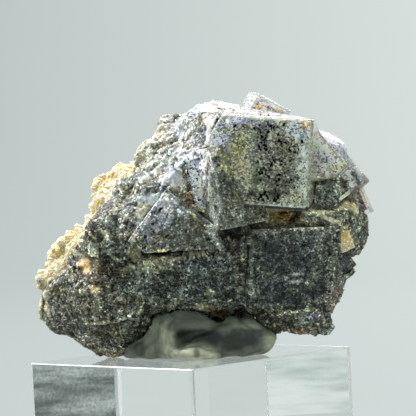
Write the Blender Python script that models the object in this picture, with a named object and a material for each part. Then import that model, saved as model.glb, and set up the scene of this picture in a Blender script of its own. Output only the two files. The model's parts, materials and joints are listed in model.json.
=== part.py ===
"""Fluorite specimen, stuck with a wad of mineral tack to a clear acrylic display block.

Frame: metres, +Z up, origin at the middle of the block's underside. The specimen's display side
faces -Y. Places on the specimen and the tack are in millimetres from the seat, which is the middle
of the block's top face: x to the right, y to the back, z up.

Pieces: the specimen (one solid: fluorite cubes grown together on their host rock, with a drusy
crust), the tack, and the block.
"""

import math
import random
from dataclasses import dataclass

import bmesh
import bpy
from mathutils import Euler, Matrix, Vector, noise
from mathutils.bvhtree import BVHTree

MM = 0.001

# Display block
BLOCK_SIDE = 50.8 * MM
BLOCK_HEIGHT = 25.4 * MM
BLOCK_TURN = math.radians(46.2)
BLOCK_EDGE_BREAK = 0.25 * MM

# Clearance above the block, and around the rock where it sits in the tack
PIECE_GAP = 0.35 * MM
HOLLOW_GAP = 0.6 * MM

# Host rock: the cell of its skin, then the facets and the finer noise of its broken surface.
# The facets' tilts are drawn from the noise at three scales, one for each axis.
ROCK_VOXEL = 1.1 * MM
ROCK_SMOOTHING = 1
ROCK_FACET_SIZE = 7.0 * MM
ROCK_FACET_TILT = 0.42
ROCK_FACET_DRAWS = (3.7, 5.3, 7.9)
ROCK_ROUGHNESS = 0.4 * MM
ROCK_ROUGHNESS_SIZE = 2.2 * MM
ROCK_TRIANGLES = 3400

# Mineral tack: the cells of its skin and of the hollow that the rock leaves in it
TACK_SUBDIVISIONS = 3
TACK_VOXEL = 0.9 * MM
TACK_SMOOTHING = 6
TACK_FACES_KEPT = 0.12
HOLLOW_VOXEL = 0.7 * MM

# How near a corner counts as on a cutting plane
ON_PLANE = 0.0001 * MM


@dataclass(frozen=True)
class Cube:
    """A fluorite cube, or as much of one as stands out of the mass: millimetres and degrees."""

    centre: tuple
    size: tuple
    turn: tuple
    cuts: tuple = ()


@dataclass(frozen=True)
class Druse:
    """A scatter of small cubes on the rock, around a line inside it: millimetres.

    The cubes lie where rays from the line, in directions within the spread, leave the rock.
    """

    count: int
    sizes: tuple
    sunk: float
    line: tuple
    spread: tuple
    seed: int


# Each cut is a point of its plane and the direction that is taken away.
CRYSTALS = {
    # the large clear cube at the top of the display side
    "window_cube": Cube((18.6, -10.1, 43.6), (22.0, 20.0, 19.4), (6.0, 7.0, -7.0),
                        (((8.6, -20.0, 51.6), (-0.84, 0.0, 0.54)),
                         ((28.7, -20.8, 51.1), (0.35, 0.09, 0.93)))),
    # cube at its lower left corner, with an edge towards the viewer
    "ridge_cube": Cube((10.0, -11.2, 37.4), (10.5, 15.0, 18.0), (-4.0, -8.0, 22.0)),
    # cube standing on one corner, left of the middle
    "corner_cube": Cube((-1.0, -10.0, 26.1), (18.0, 14.0, 13.8), (-4.0, 39.6, 0.0),
                        (((0.0, -17.0, 24.0), (0.0, 0.15, -1.0)),
                         ((5.9, -17.0, 28.5), (0.85, -0.5, 0.28)))),
    # dark cube, lower right
    "dark_cube": Cube((22.6, -3.8, 19.9), (20.2, 22.0, 16.8), (3.0, 1.0, 8.0),
                      (((33.0, -14.0, 21.0), (0.93, -0.05, -0.35)),)),
    # translucent cube at the upper right, and a clear one behind it
    "shoulder_cube": Cube((27.8, -3.5, 41.1), (12.0, 13.0, 13.0), (0.0, 52.0, 4.0),
                          (((33.0, -10.0, 38.2), (0.15, -0.1, -1.0)),)),
    "ghost_cube": Cube((30.2, 7.0, 42.6), (13.0, 12.0, 12.0), (4.0, 24.0, -6.0),
                       (((36.0, 0.0, 46.9), (0.88, 0.0, 0.47)),)),
    # clear cubes along the right edge
    "upper_sliver": Cube((33.9, 4.0, 37.9), (10.8, 11.0, 10.4), (0.0, 52.0, 10.0)),
    "lower_sliver": Cube((36.9, 5.5, 32.4), (9.0, 10.0, 9.0), (0.0, -21.0, -8.0)),
    "glassy_cube": Cube((34.3, -4.0, 17.9), (4.0, 6.0, 4.8), (0.0, -35.0, 12.0)),
    # clear cubes along the crest
    "crest_cube": Cube((18.5, 9.0, 52.0), (9.0, 9.0, 9.4), (4.0, 30.0, 12.0),
                       (((15.2, 8.0, 57.6), (-0.85, 0.0, 0.5)),)),
    "snow_cube": Cube((9.2, 6.0, 49.8), (9.0, 10.0, 9.0), (28.0, 10.0, -38.0)),
    # cubes on the back
    "back_cube": Cube((8.0, 15.5, 33.0), (17.0, 16.0, 17.0), (12.0, -10.0, 24.0)),
    "back_right_cube": Cube((25.0, 14.0, 24.0), (15.0, 14.0, 14.0), (-8.0, 16.0, -18.0)),
    "back_top_cube": Cube((1.0, 15.0, 46.0), (11.0, 10.0, 10.5), (20.0, 28.0, 10.0)),
    "back_low_cube": Cube((9.0, 17.5, 16.5), (11.0, 9.0, 10.0), (10.0, 30.0, 0.0)),
    "back_left_cube": Cube((-9.0, 17.0, 21.0), (12.0, 11.0, 12.0), (-6.0, 18.0, 30.0)),
    # cubes on the right end
    "end_cube": Cube((29.5, 10.5, 17.5), (10.0, 10.0, 10.0), (20.0, 10.0, 32.0)),
}

DRUSES = {
    "yellow_crust": Druse(100, (1.6, 3.2), 0.40, ((-24.0, 9.0, 15.0), (-9.0, 9.0, 38.0)),
                          ((-1.0, 0.0), (-0.2, 1.2), (-0.3, 1.0)), 4),
    "back_cubes": Druse(18, (4.5, 9.0), 0.36, ((-4.0, 5.0, 28.0), (28.0, 5.0, 28.0)),
                        ((-0.4, 0.5), (0.6, 1.2), (-0.7, 0.8)), 7),
}

# Corner points of the lumps that the host rock is made of.
ROCK = {
    "core": (
        (-17, -6, 30), (-14, -7, 12), (8, -11, 12), (30, -9, 12), (30, -7, 40), (10, -8, 47),
        (-6, -4, 40), (-17, 18, 30), (-14, 18, 10), (28, 20, 12), (30, 18, 42), (5, 18, 50)),
    "left_mass": (
        (-20, -9, 17.5), (-12.5, -11, 16.5), (-23.5, -8, 12), (-15, -10, 9), (-10, -9, 9.5),
        (-32.4, 1, 15.8), (-33.7, 3, 11), (-32.2, 1, 7.4), (-27.5, -3, 7.6), (-24, -4, 6),
        (-20.5, -2, 3), (-18, -1.5, 0), (-15.5, 0, 0), (-12, -6, 3), (-9.5, -8, 5.5),
        (-9.5, -9.5, 9), (-22.5, -4, 24), (-26, -3, 20.5), (-11, -8, 21), (-32, 17, 11.5),
        (-27, 14, 7), (-18, 7, 0), (-30.5, 20, 18), (-21, 22, 24), (-9, 12, 5)),
    "left_block": (
        (-20.5, -9, 31), (-18, -5, 33.5), (-7, -5, 35.5), (-3.5, -5, 37), (-21, -10.5, 23),
        (-12.5, -12, 23.5), (-22.5, -2, 29), (-23, -2, 25), (-18, 8, 34.5),
        (-7.5, 10, 37), (-22, 15, 24)),
    "lower_middle": (
        (-12, -12, 21), (-4.5, -14, 23), (6.5, -15, 23), (14.5, -13.5, 23.5), (16.5, -13, 13),
        (15, -9, 10), (11.5, -6, 9), (6, -9, 11), (-4.5, -9, 11), (-8.5, -7, 9.5), (-11.5, -11, 13.5),
        (-10.5, 15, 23.5), (15, 20, 22), (-6.5, 14, 8.5), (14, 16, 8)),
    "dark_core": (
        (14.5, -13, 28), (33, -11, 27.5), (33, -12, 21), (31.5, -12, 16), (29, -13, 10),
        (12, -13.5, 11.5), (15, -11, 29.5), (34, -7, 28.5), (35.5, -4, 20), (34.5, -8, 13.5),
        (33.4, -6, 11.5), (31.6, -4, 8), (15, 10, 28), (36.5, 8, 27), (35, 12, 12), (14, 15, 8.5)),
    "pitted_neck": (
        (7.5, -15, 32), (14, -15, 31.5), (7.5, -15.5, 21), (15, -15, 21), (15.5, -14, 29),
        (7, -5, 34), (20, -5, 34), (7, -5, 20), (18, -8, 31)),
    "lower_ledge": (
        (16.5, -12, 11.6), (20.5, -16, 10.4), (29, -16, 10), (30.6, -13, 7), (31, -10, 5),
        (29.8, -10, 4.2), (24.5, -11.5, 4.4), (19.5, -10, 5.2), (16.2, -11, 7.8), (18.5, 12, 8.5),
        (31.5, 12, 6.5), (30, 14, 3), (22, 12, 3.5)),
    "rib": (
        (-5, -8, 37), (-7, -3, 38.5), (-1.5, -9, 44), (-4, -3, 44.5), (4.5, -9, 47.5), (2.5, -3, 49.5),
        (7.5, -8, 50.5), (7, -12, 45.5), (1.5, -11, 43.5), (2, -10, 37.5), (-1, -10, 34.5),
        (-4, -10, 35), (4, -12, 31.5), (9, -14, 28.5), (12.5, -14, 31), (4.5, 10, 50.5), (-5, 10, 43)),
    "upper_body": (
        (-11, 3, 43), (-8.5, 5, 47.5), (-5, 6, 48.5), (0, 7, 52.5), (6, 5, 54), (10, 4, 55),
        (16, 2, 53.5), (27, 2, 51), (35, 3, 44), (38.5, 3, 38.5), (39.5, 3, 31.5), (38.5, 4, 25),
        (-14, 4, 40), (-14.5, 0, 34.5), (-3.5, 0, 46), (7.5, -8, 36.5), (12.5, -10, 30),
        (32.5, -8, 29), (35, -5, 36.5), (-4.5, 20, 50), (7, 20, 54), (21, 19, 52.5), (34.5, 18, 42),
        (37.5, 20, 28), (26.5, 24, 21), (3, 25, 22.5), (-10.5, 24, 28), (-14.5, 18, 35)),
    "shoulder_top": (
        (-5.4, 4, 48.5), (-5, 6, 51.8), (-3.4, 9, 54.5), (0.5, 9, 54.8), (3, 9, 53.5), (4.5, 5, 50.5),
        (3.5, 0, 48), (-3.5, 1, 47.5), (-3.5, 17, 53), (2.5, 18, 53.5)),
    "shoulder_middle": (
        (-10.8, -1, 40.8), (-11.2, 2, 44.6), (-8.8, 4, 47.9), (-5.5, 5, 48.5), (-3.5, 0, 46),
        (-3.5, -3, 41), (-9, -3, 40), (-10.5, 14, 43), (-6, 15, 48)),
    "shoulder_low": (
        (-15.5, -2, 35.5), (-14.8, -1, 39), (-13, 0, 40.8), (-7, -3, 40), (-4.5, -5, 39),
        (-5.5, -6, 36), (-11.5, -5, 34.5), (-15.5, 14, 37.5), (-7.5, 14, 39.5)),
    "crest_front": (
        (-0.5, 2, 52), (5, -5, 54), (5, -7, 50.5), (1.5, -4, 48), (5.5, 4, 56), (10, 0, 55), (0, 8, 52),
        (7.5, -13, 51), (9, -10, 53.2), (7, -13.5, 47.5)),
    "crest": (
        (4.6, 7, 55.2), (7.5, 9, 56.9), (10, 9, 56.9), (12.5, 8, 55.5), (14.5, 6, 54.5), (8, -2, 53.5),
        (4, 0, 52), (14, 0, 53.5), (6, 17, 56), (13, 16, 55.5)),
    "upper_crust": (
        (-19, 5, 33.5), (-19, 7, 37), (-17.5, 8, 39.5), (-14, 9, 41.5), (-11, 8, 42.5), (-10, 2, 41),
        (-12, 0, 39), (-15.5, 0, 35), (-16.5, 0, 33.5), (-19, 18, 34.5), (-17.5, 20, 39),
        (-12, 20, 42)),
    "lower_crust": (
        (-32, 5, 17), (-31, 6, 21.4), (-28.4, 7, 25.4), (-25.5, 8, 25.8), (-22.5, 8, 27), (-22, 5, 29),
        (-22, 0, 27), (-25, -1, 22), (-29, -1, 17.5), (-31.5, 3, 16), (-31.5, 18, 16.5),
        (-29, 21, 24), (-23.5, 21, 27)),
    "right_shelf": (
        (26.5, -14, 31), (30, -15, 30), (33.5, -13, 28), (35.5, -9, 31.5), (38.5, -6, 31),
        (28, -9, 32), (25.5, -14, 29), (26, 0, 32.5), (38, 8, 32.5), (32.5, 0, 25)),
    "right_flank": (
        (32.5, -11, 30), (35.5, -9, 31.5), (39.5, -5, 31), (41.2, 0, 28), (40.8, 1, 24.5),
        (40, 1, 21.6), (37.5, -1, 20), (34, -9, 23.5), (34.5, -11, 26), (41, 14, 29),
        (39, 14, 21), (33, 10, 21.5)),
}

# Lumps of the tack: centre, radii and turn about Z.
TACK = {
    "left_lobe": ((-4.0, -2.0, 4.0), (10.5, 10.5, 7.5), 0.0),
    "upper_lobe": ((-1.5, -6.5, 7.2), (6.5, 6.5, 4.6), 0.0),
    "roll": ((7.0, -10.2, 4.7), (9.5, 4.6, 4.3), 3.0),
    "roll_end": ((14.4, -8.4, 4.6), (5.8, 4.8, 4.3), 18.0),
    "front_lobe": ((1.0, -11.5, 1.6), (7.5, 5.5, 2.6), 0.0),
    "foot": ((3.5, -1.0, 1.5), (14.0, 10.0, 3.5), 0.0),
    "back_lobe": ((5.0, 4.0, 4.5), (11.0, 8.5, 5.5), 0.0),
}


def finish_material(name, colour, roughness, metallic=0.0, transmission=0.0, ior=1.45):
    """A Principled BSDF with a plain colour."""
    material = bpy.data.materials.new(name)
    material.use_nodes = True
    shader = material.node_tree.nodes["Principled BSDF"]
    shader.inputs["Base Color"].default_value = (*colour, 1.0)
    shader.inputs["Roughness"].default_value = roughness
    shader.inputs["Metallic"].default_value = metallic
    shader.inputs["Transmission Weight"].default_value = transmission
    shader.inputs["IOR"].default_value = ior
    return material


def link_object(name, mesh, material=None):
    """Puts a mesh into the scene as a named object."""
    body = bpy.data.objects.new(name, mesh)
    bpy.context.scene.collection.objects.link(body)
    if material is not None:
        mesh.materials.append(material)
    return body


def make_guide(body):
    """Marks an object as a cutter or guide, which is no piece of its own."""
    body.hide_render = True
    body.display_type = "WIRE"
    return body


def seat_point(point):
    """A place given in millimetres from the seat, in metres from the origin."""
    return Vector(point) * MM + Vector((0.0, 0.0, BLOCK_HEIGHT))


def turned(angles):
    """A rotation matrix for angles in degrees about X, Y and Z."""
    return Euler([math.radians(angle) for angle in angles]).to_matrix().to_4x4()


def mesh_from(bm, name):
    """Turns a bmesh into a mesh whose faces point outwards."""
    bmesh.ops.recalc_face_normals(bm, faces=bm.faces)
    mesh = bpy.data.meshes.new(name)
    bm.to_mesh(mesh)
    bm.free()
    return mesh


def settled(body):
    """Replaces an object by the mesh that its modifiers give."""
    graph = bpy.context.evaluated_depsgraph_get()
    mesh = bpy.data.meshes.new_from_object(body.evaluated_get(graph))
    name = body.name
    bpy.data.objects.remove(body)
    mesh.name = name
    return mesh


def reskin(body, cell):
    """Gives overlapping lumps one even skin."""
    skin = body.modifiers.new("one_skin", "REMESH")
    skin.mode = "VOXEL"
    skin.voxel_size = cell


def cube_into(bm, centre, size, turn, cuts=()):
    """Adds one cube, clipped by its cuts, at its place."""
    lump = bmesh.new()
    bmesh.ops.create_cube(lump, size=1.0)
    place = Matrix.Translation(seat_point(centre)) @ turned(turn)
    stretch = Matrix.Diagonal((*(Vector(size) * MM), 1.0))
    bmesh.ops.transform(lump, matrix=place @ stretch, verts=lump.verts)
    for point, away in cuts:
        cut = bmesh.ops.bisect_plane(
            lump, geom=lump.verts[:] + lump.edges[:] + lump.faces[:],
            plane_co=seat_point(point), plane_no=Vector(away), clear_outer=True, dist=ON_PLANE)
        rim = [e for e in cut["geom_cut"] if isinstance(e, bmesh.types.BMEdge)]
        bmesh.ops.contextual_create(lump, geom=rim)
    mesh = mesh_from(lump, "cube")
    bm.from_mesh(mesh)
    bpy.data.meshes.remove(mesh)


def hull_into(bm, corners):
    """Adds the convex lump that a few corner points span."""
    lump = bmesh.new()
    for corner in corners:
        lump.verts.new(seat_point(corner))
    made = bmesh.ops.convex_hull(lump, input=lump.verts)
    inside = [v for v in made["geom_interior"] if isinstance(v, bmesh.types.BMVert)]
    bmesh.ops.delete(lump, geom=inside, context="VERTS")
    mesh = mesh_from(lump, "lump")
    bm.from_mesh(mesh)
    bpy.data.meshes.remove(mesh)


def roughen(mesh):
    """Gives a mesh the broken surface of the rock: small tilted facets, and a finer noise."""
    bm = bmesh.new()
    bm.from_mesh(mesh)
    bm.normal_update()
    for vertex in bm.verts:
        place = vertex.co / ROCK_FACET_SIZE
        middle = noise.voronoi(place)[1][0]
        tilt = Vector([noise.noise(middle * draw) for draw in ROCK_FACET_DRAWS])
        step = tilt.dot(place - middle) * ROCK_FACET_SIZE * ROCK_FACET_TILT
        grain = noise.noise(vertex.co / ROCK_ROUGHNESS_SIZE) * ROCK_ROUGHNESS
        vertex.co += vertex.normal * (step + grain)
    bm.to_mesh(mesh)
    bm.free()


def below_block_top():
    """A guide that fills the space below the specimen's resting plane."""
    bm = bmesh.new()
    bmesh.ops.create_cube(bm, size=2 * BLOCK_SIDE)
    below = make_guide(link_object("below_block_top", mesh_from(bm, "below_block_top")))
    below.location.z = BLOCK_HEIGHT + PIECE_GAP - BLOCK_SIDE
    return below


def cut_below(body, below):
    """Ends a body flat, just clear of the block."""
    flat = body.modifiers.new("pressed_flat", "BOOLEAN")
    flat.operation = "DIFFERENCE"
    flat.object = below
    flat.solver = "EXACT"


def build_rock(below):
    """The host rock: lumps under one skin, with a broken surface."""
    bm = bmesh.new()
    for corners in ROCK.values():
        hull_into(bm, corners)
    rock = link_object("rock_skin", mesh_from(bm, "rock_skin"))
    reskin(rock, ROCK_VOXEL)
    soften = rock.modifiers.new("worn_edges", "SMOOTH")
    soften.iterations = ROCK_SMOOTHING
    mesh = settled(rock)
    roughen(mesh)
    rock = link_object("rock_skin", mesh)
    thin = rock.modifiers.new("few_faces", "DECIMATE")
    thin.ratio = ROCK_TRIANGLES / sum(len(p.vertices) - 2 for p in mesh.polygons)
    cut_below(rock, below)
    return settled(rock)


def druse_mesh(name, druse, rock_mesh):
    """The small cubes of a druse, each sunk into the rock's surface."""
    draw = random.Random(druse.seed)
    surface = BVHTree.FromPolygons(
        [vertex.co for vertex in rock_mesh.vertices],
        [polygon.vertices for polygon in rock_mesh.polygons])
    start, end = [seat_point(point) for point in druse.line]
    seat = seat_point((0.0, 0.0, 0.0))
    bm = bmesh.new()
    for _ in range(druse.count):
        middle = start.lerp(end, draw.random())
        outwards = Vector([draw.uniform(*span) for span in druse.spread]).normalized()
        place, normal, _, _ = surface.ray_cast(middle + outwards * 2 * BLOCK_SIDE, -outwards)
        size = draw.uniform(*druse.sizes)
        turn = [draw.uniform(0.0, 90.0) for _ in range(3)]
        centre = (place - seat) / MM + normal * size * (0.5 - druse.sunk)
        cube_into(bm, centre, (size, size, size), turn)
    return mesh_from(bm, name)


def fill_pockets(mesh):
    """Leaves a mesh its outer skin alone, which fills the pockets sealed between crystals."""
    bm = bmesh.new()
    bm.from_mesh(mesh)
    unseen = set(bm.verts)
    shells = []
    while unseen:
        shell = []
        edge = [unseen.pop()]
        while edge:
            vertex = edge.pop()
            shell.append(vertex)
            near = {e.other_vert(vertex) for e in vertex.link_edges} & unseen
            unseen -= near
            edge.extend(near)
        shells.append(shell)
    for shell in sorted(shells, key=len)[:-1]:
        bmesh.ops.delete(bm, geom=shell, context="VERTS")
    bm.to_mesh(mesh)
    bm.free()


def build_block():
    """The clear acrylic block."""
    bm = bmesh.new()
    bmesh.ops.create_cube(bm, size=1.0)
    bmesh.ops.scale(bm, vec=(BLOCK_SIDE, BLOCK_SIDE, BLOCK_HEIGHT), verts=bm.verts)
    block = link_object("acrylic_block", mesh_from(bm, "acrylic_block"), finish_material(
        "clear_acrylic", (0.93, 0.96, 0.95), 0.03, transmission=1.0, ior=1.49))
    block.location.z = BLOCK_HEIGHT / 2
    block.rotation_euler.z = BLOCK_TURN
    bevel = block.modifiers.new("edge_break", "BEVEL")
    bevel.width = BLOCK_EDGE_BREAK
    bevel.segments = 1
    return block


def build_specimen(rock_mesh):
    """The specimen: the host rock with the crystals joined to it."""
    specimen = link_object("grown_together", rock_mesh)
    grown = bpy.data.collections.new("crystals")
    bpy.context.scene.collection.children.link(grown)
    for name, cube in CRYSTALS.items():
        bm = bmesh.new()
        cube_into(bm, cube.centre, cube.size, cube.turn, cube.cuts)
        grown.objects.link(make_guide(bpy.data.objects.new(name, mesh_from(bm, name))))
    join = specimen.modifiers.new("crystals_grown_on", "BOOLEAN")
    join.operation = "UNION"
    join.operand_type = "COLLECTION"
    join.collection = grown
    join.solver = "EXACT"
    join.use_self = True
    for name, druse in DRUSES.items():
        guide = make_guide(link_object(name, druse_mesh(name, druse, rock_mesh)))
        dress = specimen.modifiers.new(name, "BOOLEAN")
        dress.operation = "UNION"
        dress.object = guide
        dress.solver = "EXACT"
        dress.use_self = True
    mesh = settled(specimen)
    fill_pockets(mesh)
    return link_object("fluorite_specimen", mesh, finish_material(
        "fluorite_and_host_rock", (0.17, 0.18, 0.16), 0.7))


def build_tack(specimen, below):
    """The wad of tack: pressed lumps, hollowed where the rock sits in it and flat on the block."""
    bm = bmesh.new()
    for centre, radii, turn in TACK.values():
        lump = bmesh.ops.create_icosphere(bm, subdivisions=TACK_SUBDIVISIONS, radius=1.0)["verts"]
        place = Matrix.Translation(seat_point(centre)) @ turned((0.0, 0.0, turn))
        bmesh.ops.transform(bm, matrix=place @ Matrix.Diagonal((*(Vector(radii) * MM), 1.0)), verts=lump)
    tack = link_object("mounting_tack", mesh_from(bm, "mounting_tack"), finish_material(
        "grey_mineral_tack", (0.19, 0.20, 0.16), 0.6))
    reskin(tack, TACK_VOXEL)
    soften = tack.modifiers.new("thumbed_smooth", "SMOOTH")
    soften.iterations = TACK_SMOOTHING

    swollen = make_guide(link_object("rock_in_tack", specimen.data.copy()))
    reskin(swollen, HOLLOW_VOXEL)
    swell = swollen.modifiers.new("clearance", "DISPLACE")
    swell.mid_level = 0.0
    swell.strength = HOLLOW_GAP
    reskin(swollen, HOLLOW_VOXEL)
    press = tack.modifiers.new("rock_pressed_in", "BOOLEAN")
    press.operation = "DIFFERENCE"
    press.object = swollen
    press.solver = "EXACT"

    thin = tack.modifiers.new("few_faces", "DECIMATE")
    thin.ratio = TACK_FACES_KEPT
    cut_below(tack, below)
    return tack


def main():
    """Builds the three pieces in an empty scene."""
    for old in list(bpy.data.objects):
        bpy.data.objects.remove(old)
    build_block()
    below = below_block_top()
    build_tack(build_specimen(build_rock(below)), below)


if __name__ == "__main__":
    main()
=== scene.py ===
"""The looks of a fluorite specimen that stands, held by mineral tack, on a clear acrylic block.

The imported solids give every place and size. The rock is the specimen's own solid, re-skinned finely
and weathered, with its clear cubes cut out of it and set back in as see-through crystal. Places that
are given here in millimetres count from the seat, the middle of the block's top face: x to the right,
y to the back and z up, as seen from the display side.
"""

import json
import logging
import math
from dataclasses import dataclass, field
from enum import Enum

import bmesh
import bpy
import numpy as np
from bpy.types import Material, Mesh, Node, NodeSocket, NodeTree, Object
from mathutils import Euler, Matrix, Vector, noise
from mathutils.bvhtree import BVHTree
from mathutils.kdtree import KDTree

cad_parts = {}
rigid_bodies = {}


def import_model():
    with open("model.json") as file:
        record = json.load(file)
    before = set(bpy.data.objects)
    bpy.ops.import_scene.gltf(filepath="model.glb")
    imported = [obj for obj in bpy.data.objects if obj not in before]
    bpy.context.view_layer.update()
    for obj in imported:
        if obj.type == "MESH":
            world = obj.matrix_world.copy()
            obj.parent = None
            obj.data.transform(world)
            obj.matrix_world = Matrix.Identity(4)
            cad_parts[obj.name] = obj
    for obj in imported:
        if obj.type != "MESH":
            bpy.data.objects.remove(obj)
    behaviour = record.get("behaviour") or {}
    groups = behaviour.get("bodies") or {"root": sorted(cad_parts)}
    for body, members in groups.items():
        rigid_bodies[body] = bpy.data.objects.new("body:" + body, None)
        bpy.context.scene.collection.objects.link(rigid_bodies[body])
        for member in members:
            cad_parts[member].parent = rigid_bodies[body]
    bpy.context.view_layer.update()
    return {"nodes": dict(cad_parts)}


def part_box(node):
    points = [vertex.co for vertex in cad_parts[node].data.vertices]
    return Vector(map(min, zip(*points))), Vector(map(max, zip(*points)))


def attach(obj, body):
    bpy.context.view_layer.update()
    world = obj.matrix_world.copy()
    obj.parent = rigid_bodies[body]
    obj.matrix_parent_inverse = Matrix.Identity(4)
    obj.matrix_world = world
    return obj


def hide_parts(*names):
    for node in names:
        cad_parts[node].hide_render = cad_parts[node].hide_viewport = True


Point = tuple[float, float, float]
MM = 0.001
# In millimetres, farther than anything on the specimen.
FAR_OFF = 99.0
WHITE = (1.0, 1.0, 1.0, 1.0)
# The settings of a mix node that multiplies its two colours.
TIMES = {"data_type": "RGBA", "blend_type": "MULTIPLY"}
log = logging.getLogger("fluorite_specimen")


def linear(code: str) -> tuple[float, float, float, float]:
    """Turns an sRGB hex colour into linear values.

    Args:
        code: six hex digits after a hash.

    Returns:
        Red, green, blue and a full alpha.
    """
    parts = [int(code[i:i + 2], 16) / 255 for i in (1, 3, 5)]
    red, green, blue = [v / 12.92 if v <= 0.04045 else ((v + 0.055) / 1.055) ** 2.4 for v in parts]
    return red, green, blue, 1.0


def set_inputs(tree: NodeTree, node: Node, inputs: dict) -> None:
    """Sets or links a node's inputs.

    Args:
        tree: the node tree that the node stands in.
        node: the node.
        inputs: values, output sockets or whole nodes, by the input's name or number. A whole node
            stands for its first output in use.
    """
    for key, value in inputs.items():
        if isinstance(value, Node):
            value = next(socket for socket in value.outputs if socket.enabled)
        if isinstance(value, NodeSocket):
            tree.links.new(value, node.inputs[key])
        else:
            node.inputs[key].default_value = value


def add_node(tree: NodeTree, kind: str, inputs: dict | None = None, stops: tuple = (),
             **settings) -> Node:
    """Adds a node with its settings, and sets or links its inputs.

    Args:
        tree: the node tree that it joins.
        kind: the node's type.
        inputs: its inputs, as set_inputs takes them.
        stops: for a colour ramp, places from 0 to 1, each with its colour or its grey level.
        settings: the node's own properties.

    Returns:
        The new node.
    """
    node = tree.nodes.new(kind)
    for name, value in settings.items():
        setattr(node, name, value)
    set_inputs(tree, node, inputs or {})
    for number, (place, value) in enumerate(stops):
        marks = node.color_ramp.elements
        mark = marks[number] if number < len(marks) else marks.new(1.0)
        mark.position = place
        mark.color = value if isinstance(value, tuple) else (value, value, value, 1.0)
    return node


def new_material(name: str) -> tuple[Material, NodeTree, Node]:
    """Starts a material.

    Args:
        name: the material's name.

    Returns:
        The material, its node tree and its surface shader.
    """
    material = bpy.data.materials.new(name)
    material.use_nodes = True
    return material, material.node_tree, material.node_tree.nodes["Principled BSDF"]


def new_group(name: str, sizes: dict) -> tuple[NodeTree, Node]:
    """Starts a geometry node tree that takes a geometry and named sizes.

    Args:
        name: the tree's name.
        sizes: the value of each named input, a number, a whole number or a material.

    Returns:
        The tree and its input node.
    """
    tree = bpy.data.node_groups.new(name, "GeometryNodeTree")
    tree.interface.new_socket("Geometry", in_out="INPUT", socket_type="NodeSocketGeometry")
    tree.interface.new_socket("Geometry", in_out="OUTPUT", socket_type="NodeSocketGeometry")
    for label, value in sizes.items():
        kind = {int: "Int", float: "Float"}.get(type(value), "Material")
        tree.interface.new_socket(label, in_out="INPUT", socket_type="NodeSocket" + kind)
    return tree, add_node(tree, "NodeGroupInput")


def grown(piece: Object, tree: NodeTree, values: dict) -> Mesh:
    """Runs a geometry node tree on an object, and returns the plain mesh that it gives.

    Args:
        piece: the object, which is used up.
        tree: the node tree.
        values: what each of the tree's named inputs is set to, by its name.

    Returns:
        The mesh.
    """
    work = piece.modifiers.new(tree.name, "NODES")
    work.node_group = tree
    keys = {item.name: item.identifier for item in tree.interface.items_tree if item.in_out == "INPUT"}
    for name, value in values.items():
        work[keys[name]] = value
    return settled(piece)


def seat_point(point: Point, seat: float) -> Vector:
    """Turns a place in millimetres from the seat into metres from the frame's origin."""
    return Vector(point) * MM + Vector((0.0, 0.0, seat))


def link_piece(name: str, mesh: Mesh) -> Object:
    """Puts a mesh into the scene.

    Args:
        name: the object's name.
        mesh: the mesh, with its place in it.

    Returns:
        The object, which stands at the origin.
    """
    piece = bpy.data.objects.new(name, mesh)
    bpy.context.scene.collection.objects.link(piece)
    return piece


def settled(piece: Object) -> Mesh:
    """Turns an object with modifiers into a plain mesh.

    Args:
        piece: the object, which is used up.

    Returns:
        The mesh that its modifiers give.
    """
    graph = bpy.context.evaluated_depsgraph_get()
    mesh = bpy.data.meshes.new_from_object(piece.evaluated_get(graph))
    bpy.data.objects.remove(piece)
    return mesh


def made_mesh(bm: bmesh.types.BMesh, name: str) -> Mesh:
    """Turns a shape under construction into a mesh.

    Args:
        bm: the shape, which is used up.
        name: the mesh's name.

    Returns:
        The mesh.
    """
    mesh = bpy.data.meshes.new(name)
    bm.to_mesh(mesh)
    bm.free()
    return mesh


def dress(mesh: Mesh, finish: Material) -> None:
    """Smooths a mesh and gives it one material.

    Args:
        mesh: the mesh.
        finish: the material.
    """
    mesh.shade_smooth()
    mesh.materials.clear()
    mesh.materials.append(finish)


def smooth_step(value: np.ndarray, start: float = 0.0, end: float = 1.0) -> np.ndarray:
    """The smooth ramp that is 0 up to its start and 1 from its end on.

    Args:
        value: the numbers to place on the ramp.
        start: where it starts, which may be above its end.
        end: where it ends.

    Returns:
        One share for each number.
    """
    ramp = np.clip((value - start) / (end - start), 0.0, 1.0)
    return ramp * ramp * (3.0 - 2.0 * ramp)


def bell(value: np.ndarray, centre: float, width: float) -> np.ndarray:
    """The bell curve that is 1 at its centre and falls off over a width."""
    return np.exp(-((value - centre) / width) ** 2)


def path_gap(points: np.ndarray, path: tuple, weights: np.ndarray | float = 1.0) -> np.ndarray:
    """How far each point is from a path.

    Args:
        points: places, one row for each.
        path: the path's corners.
        weights: how much each axis counts.

    Returns:
        One distance for each point, at most FAR_OFF.
    """
    off = np.full(len(points), FAR_OFF)
    for start, end in zip(path, path[1:]):
        start, end = np.array(start), np.array(end)
        step = (end - start) * weights
        along = np.clip((points - start) * weights @ step / np.sum(step ** 2), 0.0, 1.0)
        gap = (points - start - along[:, None] * (end - start)) * weights
        off = np.minimum(off, np.linalg.norm(gap, axis=1))
    return off


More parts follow.
